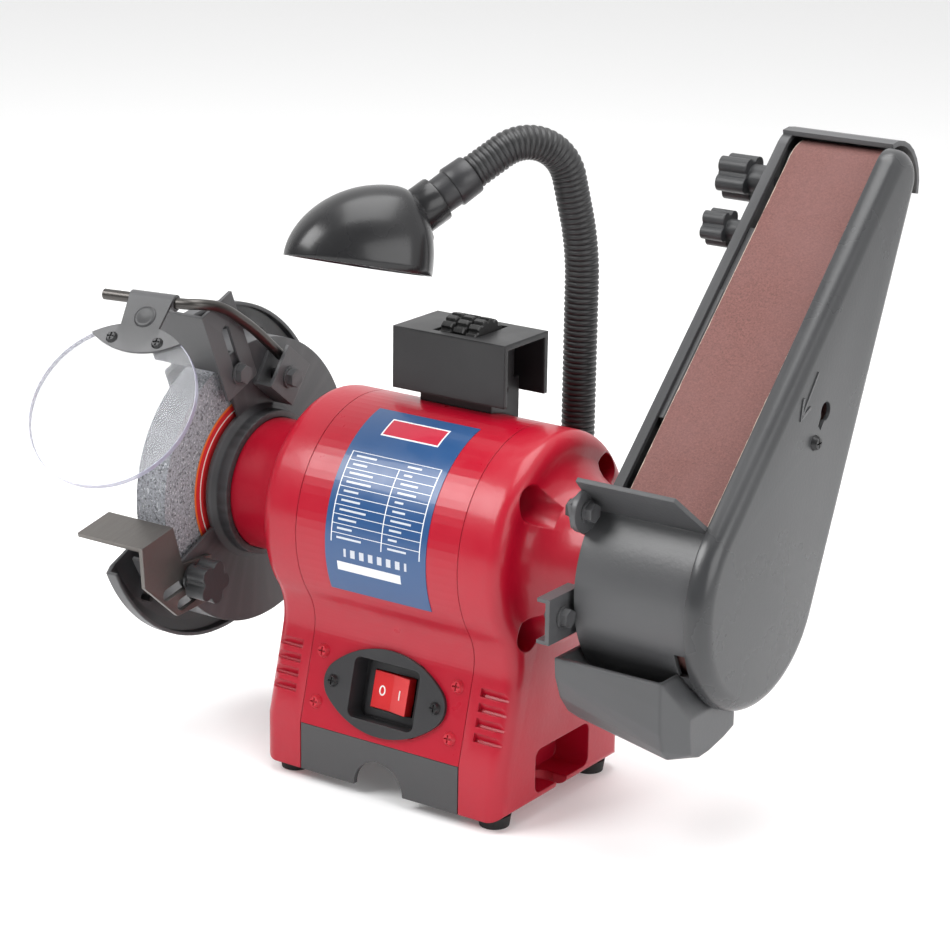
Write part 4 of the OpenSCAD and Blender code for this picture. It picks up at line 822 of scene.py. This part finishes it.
mesh = bmesh.new()
stations = [BACK + (TIP - BACK) * 0.5 * (1 - cos(pi * i / 48)) for i in range(1, 48)]
arch = 40
grid = []
for x in stations:
    row = []
    for k in range(arch + 1):
        a = pi * k / arch
        across = hood_width(x) * math.copysign(abs(cos(a)) ** 0.92, cos(a))
        row.append(mesh.verts.new(HOOD @ Vector((x, across, RIM_Z + hood_height(x) * sin(a) ** 0.92))))
    grid.append(row)
for low, high in zip(grid, grid[1:]):
    for k in range(arch):
        mesh.faces.new((low[k], low[k + 1], high[k + 1], high[k]))
for row, x in ((grid[0], BACK), (grid[-1], TIP)):
    end = mesh.verts.new(HOOD @ Vector((x, 0, RIM_Z + 0.0008)))
    for k in range(arch):
        mesh.faces.new((row[k], row[k + 1], end))
hood = new_piece("lamp_hood", "lamp_head", mesh, hood_gloss, "gloss_black", "lamp_shade")
skin = hood.modifiers.new("skin", "SOLIDIFY")
skin.thickness, skin.offset, skin.use_even_offset = 0.0016, -1.0, False
carve(hood)
on_axis([(0.0325, 0.0130)] + rim(0.0328, 0.0382, 0.0168, 0.0014) + [(0.0420, 0.0150), (0.0440, 0.0120)],
        "lamp_head", "hood_ring", hood_gloss, "gloss_black")
pearl = Paint("pearl_glass", (0.86, 0.84, 0.78), 0.25)
pearl.set("Base Color", pearl.mix(pearl.noise(30), (0.84, 0.82, 0.76), (0.90, 0.88, 0.82)))
coat_node(pearl, "bulb")


# ---------------------------------------------------------------- wheel dresser
# A folded steel channel over a stand on the barrel. Three toothed cutters turn
# on a pin and stand out of its top, ready to true the stone.
dresser_black = moulded("dresser_black", (0.010, 0.010, 0.011), 0.40, 0.0016, 0.10, 700)
coat_node(dresser_black, "dresser_stand", "dresser_channel")
cutter_steel = metal("hardened_cutter_steel", (0.07, 0.07, 0.07), 0.5, 0.0003, (60, 60, 60), 0.25)
cutter_steel.set("Metallic", 0.7)
PIN_Y, PIN_Z, PITCH = 0.021, 0.2305, 0.0085
TEETH, PER_TOOTH, TOOTH_R, ROOT_R = 16, 8, 0.0149, 0.0134


def cutter_ring(offset, share):
    """The toothed outline at a share of its full size, turned by offset."""
    ring = []
    for k in range(TEETH * PER_TOOTH):
        a = 2 * pi * k / (TEETH * PER_TOOTH) + offset
        r = (TOOTH_R if k % PER_TOOTH < 5 else ROOT_R) * share
        ring.append((PIN_Y + r * cos(a), PIN_Z + r * sin(a)))
    return ring


for i in (-1, 0, 1):
    mesh = bmesh.new()
    layers = [(-0.0034, 0.95), (-0.0028, 1), (0.0028, 1), (0.0034, 0.95)]
    loft(mesh, [[(i * PITCH + dx, y, z) for y, z in cutter_ring(radians(9 * i), share)]
                for dx, share in layers])
    new_piece("cutter_" + str(i + 2), "dresser_teeth", mesh, cutter_steel, "tooth_steel", "star_wheels",
              smooth=False)


# ---------------------------------------------------------------- studio
# A pale floor, a large soft light over the left shoulder, one overhead, a weaker
# one on the right, and a room that is bright behind and dim in front.
FLOOR_Z = -0.0065             # the underside of the rubber feet
mesh = bmesh.new()
for corner in ((-4, -4), (4, -4), (4, 4), (-4, 4)):
    mesh.verts.new((*corner, FLOOR_Z))
mesh.faces.new(mesh.verts[:])
data = bpy.data.meshes.new("floor")
mesh.to_mesh(data)
mesh.free()
floor = bpy.data.objects.new("floor", data)
bpy.context.scene.collection.objects.link(floor)
pale_floor = Paint("pale_floor", (0.92, 0.92, 0.92), 0.8)
pale_floor.set("Roughness", pale_floor.spread(pale_floor.noise(4), 0.3, 0.7, 0.75, 0.85))
pale_floor.set("Emission Color", (1, 1, 1, 1))
pale_floor.set("Emission Strength", 0.10)
data.materials.append(pale_floor.material)

world = bpy.data.worlds.new("room")
bpy.context.scene.world = world
world.use_nodes = True
room = world.node_tree
ray = room.nodes.new("ShaderNodeTexCoord")
split = room.nodes.new("ShaderNodeSeparateXYZ")
depth = room.nodes.new("ShaderNodeMapRange")
room.links.new(ray.outputs["Generated"], split.inputs[0])
room.links.new(split.outputs["Y"], depth.inputs["Value"])
for end, value in (("From Min", -0.30), ("From Max", 0.10), ("To Min", 0.26), ("To Max", 1.05)):
    depth.inputs[end].default_value = value
room.nodes["Background"].inputs["Color"].default_value = (1.0, 1.0, 1.0, 1)
room.links.new(depth.outputs["Result"], room.nodes["Background"].inputs["Strength"])


def soft_light(name, at, aim, width, height, power):
    """A rectangular area light that looks at a point."""
    lamp = bpy.data.lights.new(name, "AREA")
    lamp.shape, lamp.size, lamp.size_y, lamp.energy = "RECTANGLE", width, height, power
    stand = bpy.data.objects.new(name, lamp)
    bpy.context.scene.collection.objects.link(stand)
    stand.location = at
    stand.rotation_euler = (Vector(aim) - Vector(at)).to_track_quat("-Z", "Y").to_euler()


soft_light("key", (-0.8, -1.1, 1.4), (0, 0, 0.15), 1.0, 0.8, 24)
soft_light("top", (0.1, 0.1, 1.7), (0, 0, 0.15), 1.4, 1.0, 22)
soft_light("fill", (1.6, -0.5, 0.8), (0, 0, 0.15), 1.2, 1.0, 12)

eye = bpy.data.cameras.new("camera")
camera = bpy.data.objects.new("camera", eye)
bpy.context.scene.collection.objects.link(camera)
bpy.context.scene.camera = camera
az, el, roll = radians(34.43), radians(17.37), radians(0.89)
stand_at = (0.8505, -1.2134, 0.6256)
back = Vector((sin(az) * cos(el), -cos(az) * cos(el), sin(el)))
level = Vector((0, 0, 1)).cross(back).normalized()
above = back.cross(level)
right = level * cos(roll) + above * sin(roll)
up = above * cos(roll) - level * sin(roll)
camera.matrix_world = Matrix.Translation(stand_at) @ Matrix((right, up, back)).transposed().to_4x4()
eye.sensor_width, eye.lens = 36.0, 36.0 * 2908.5 / 950
eye.clip_start = 0.05
bpy.context.scene.view_settings.view_transform = "Standard"
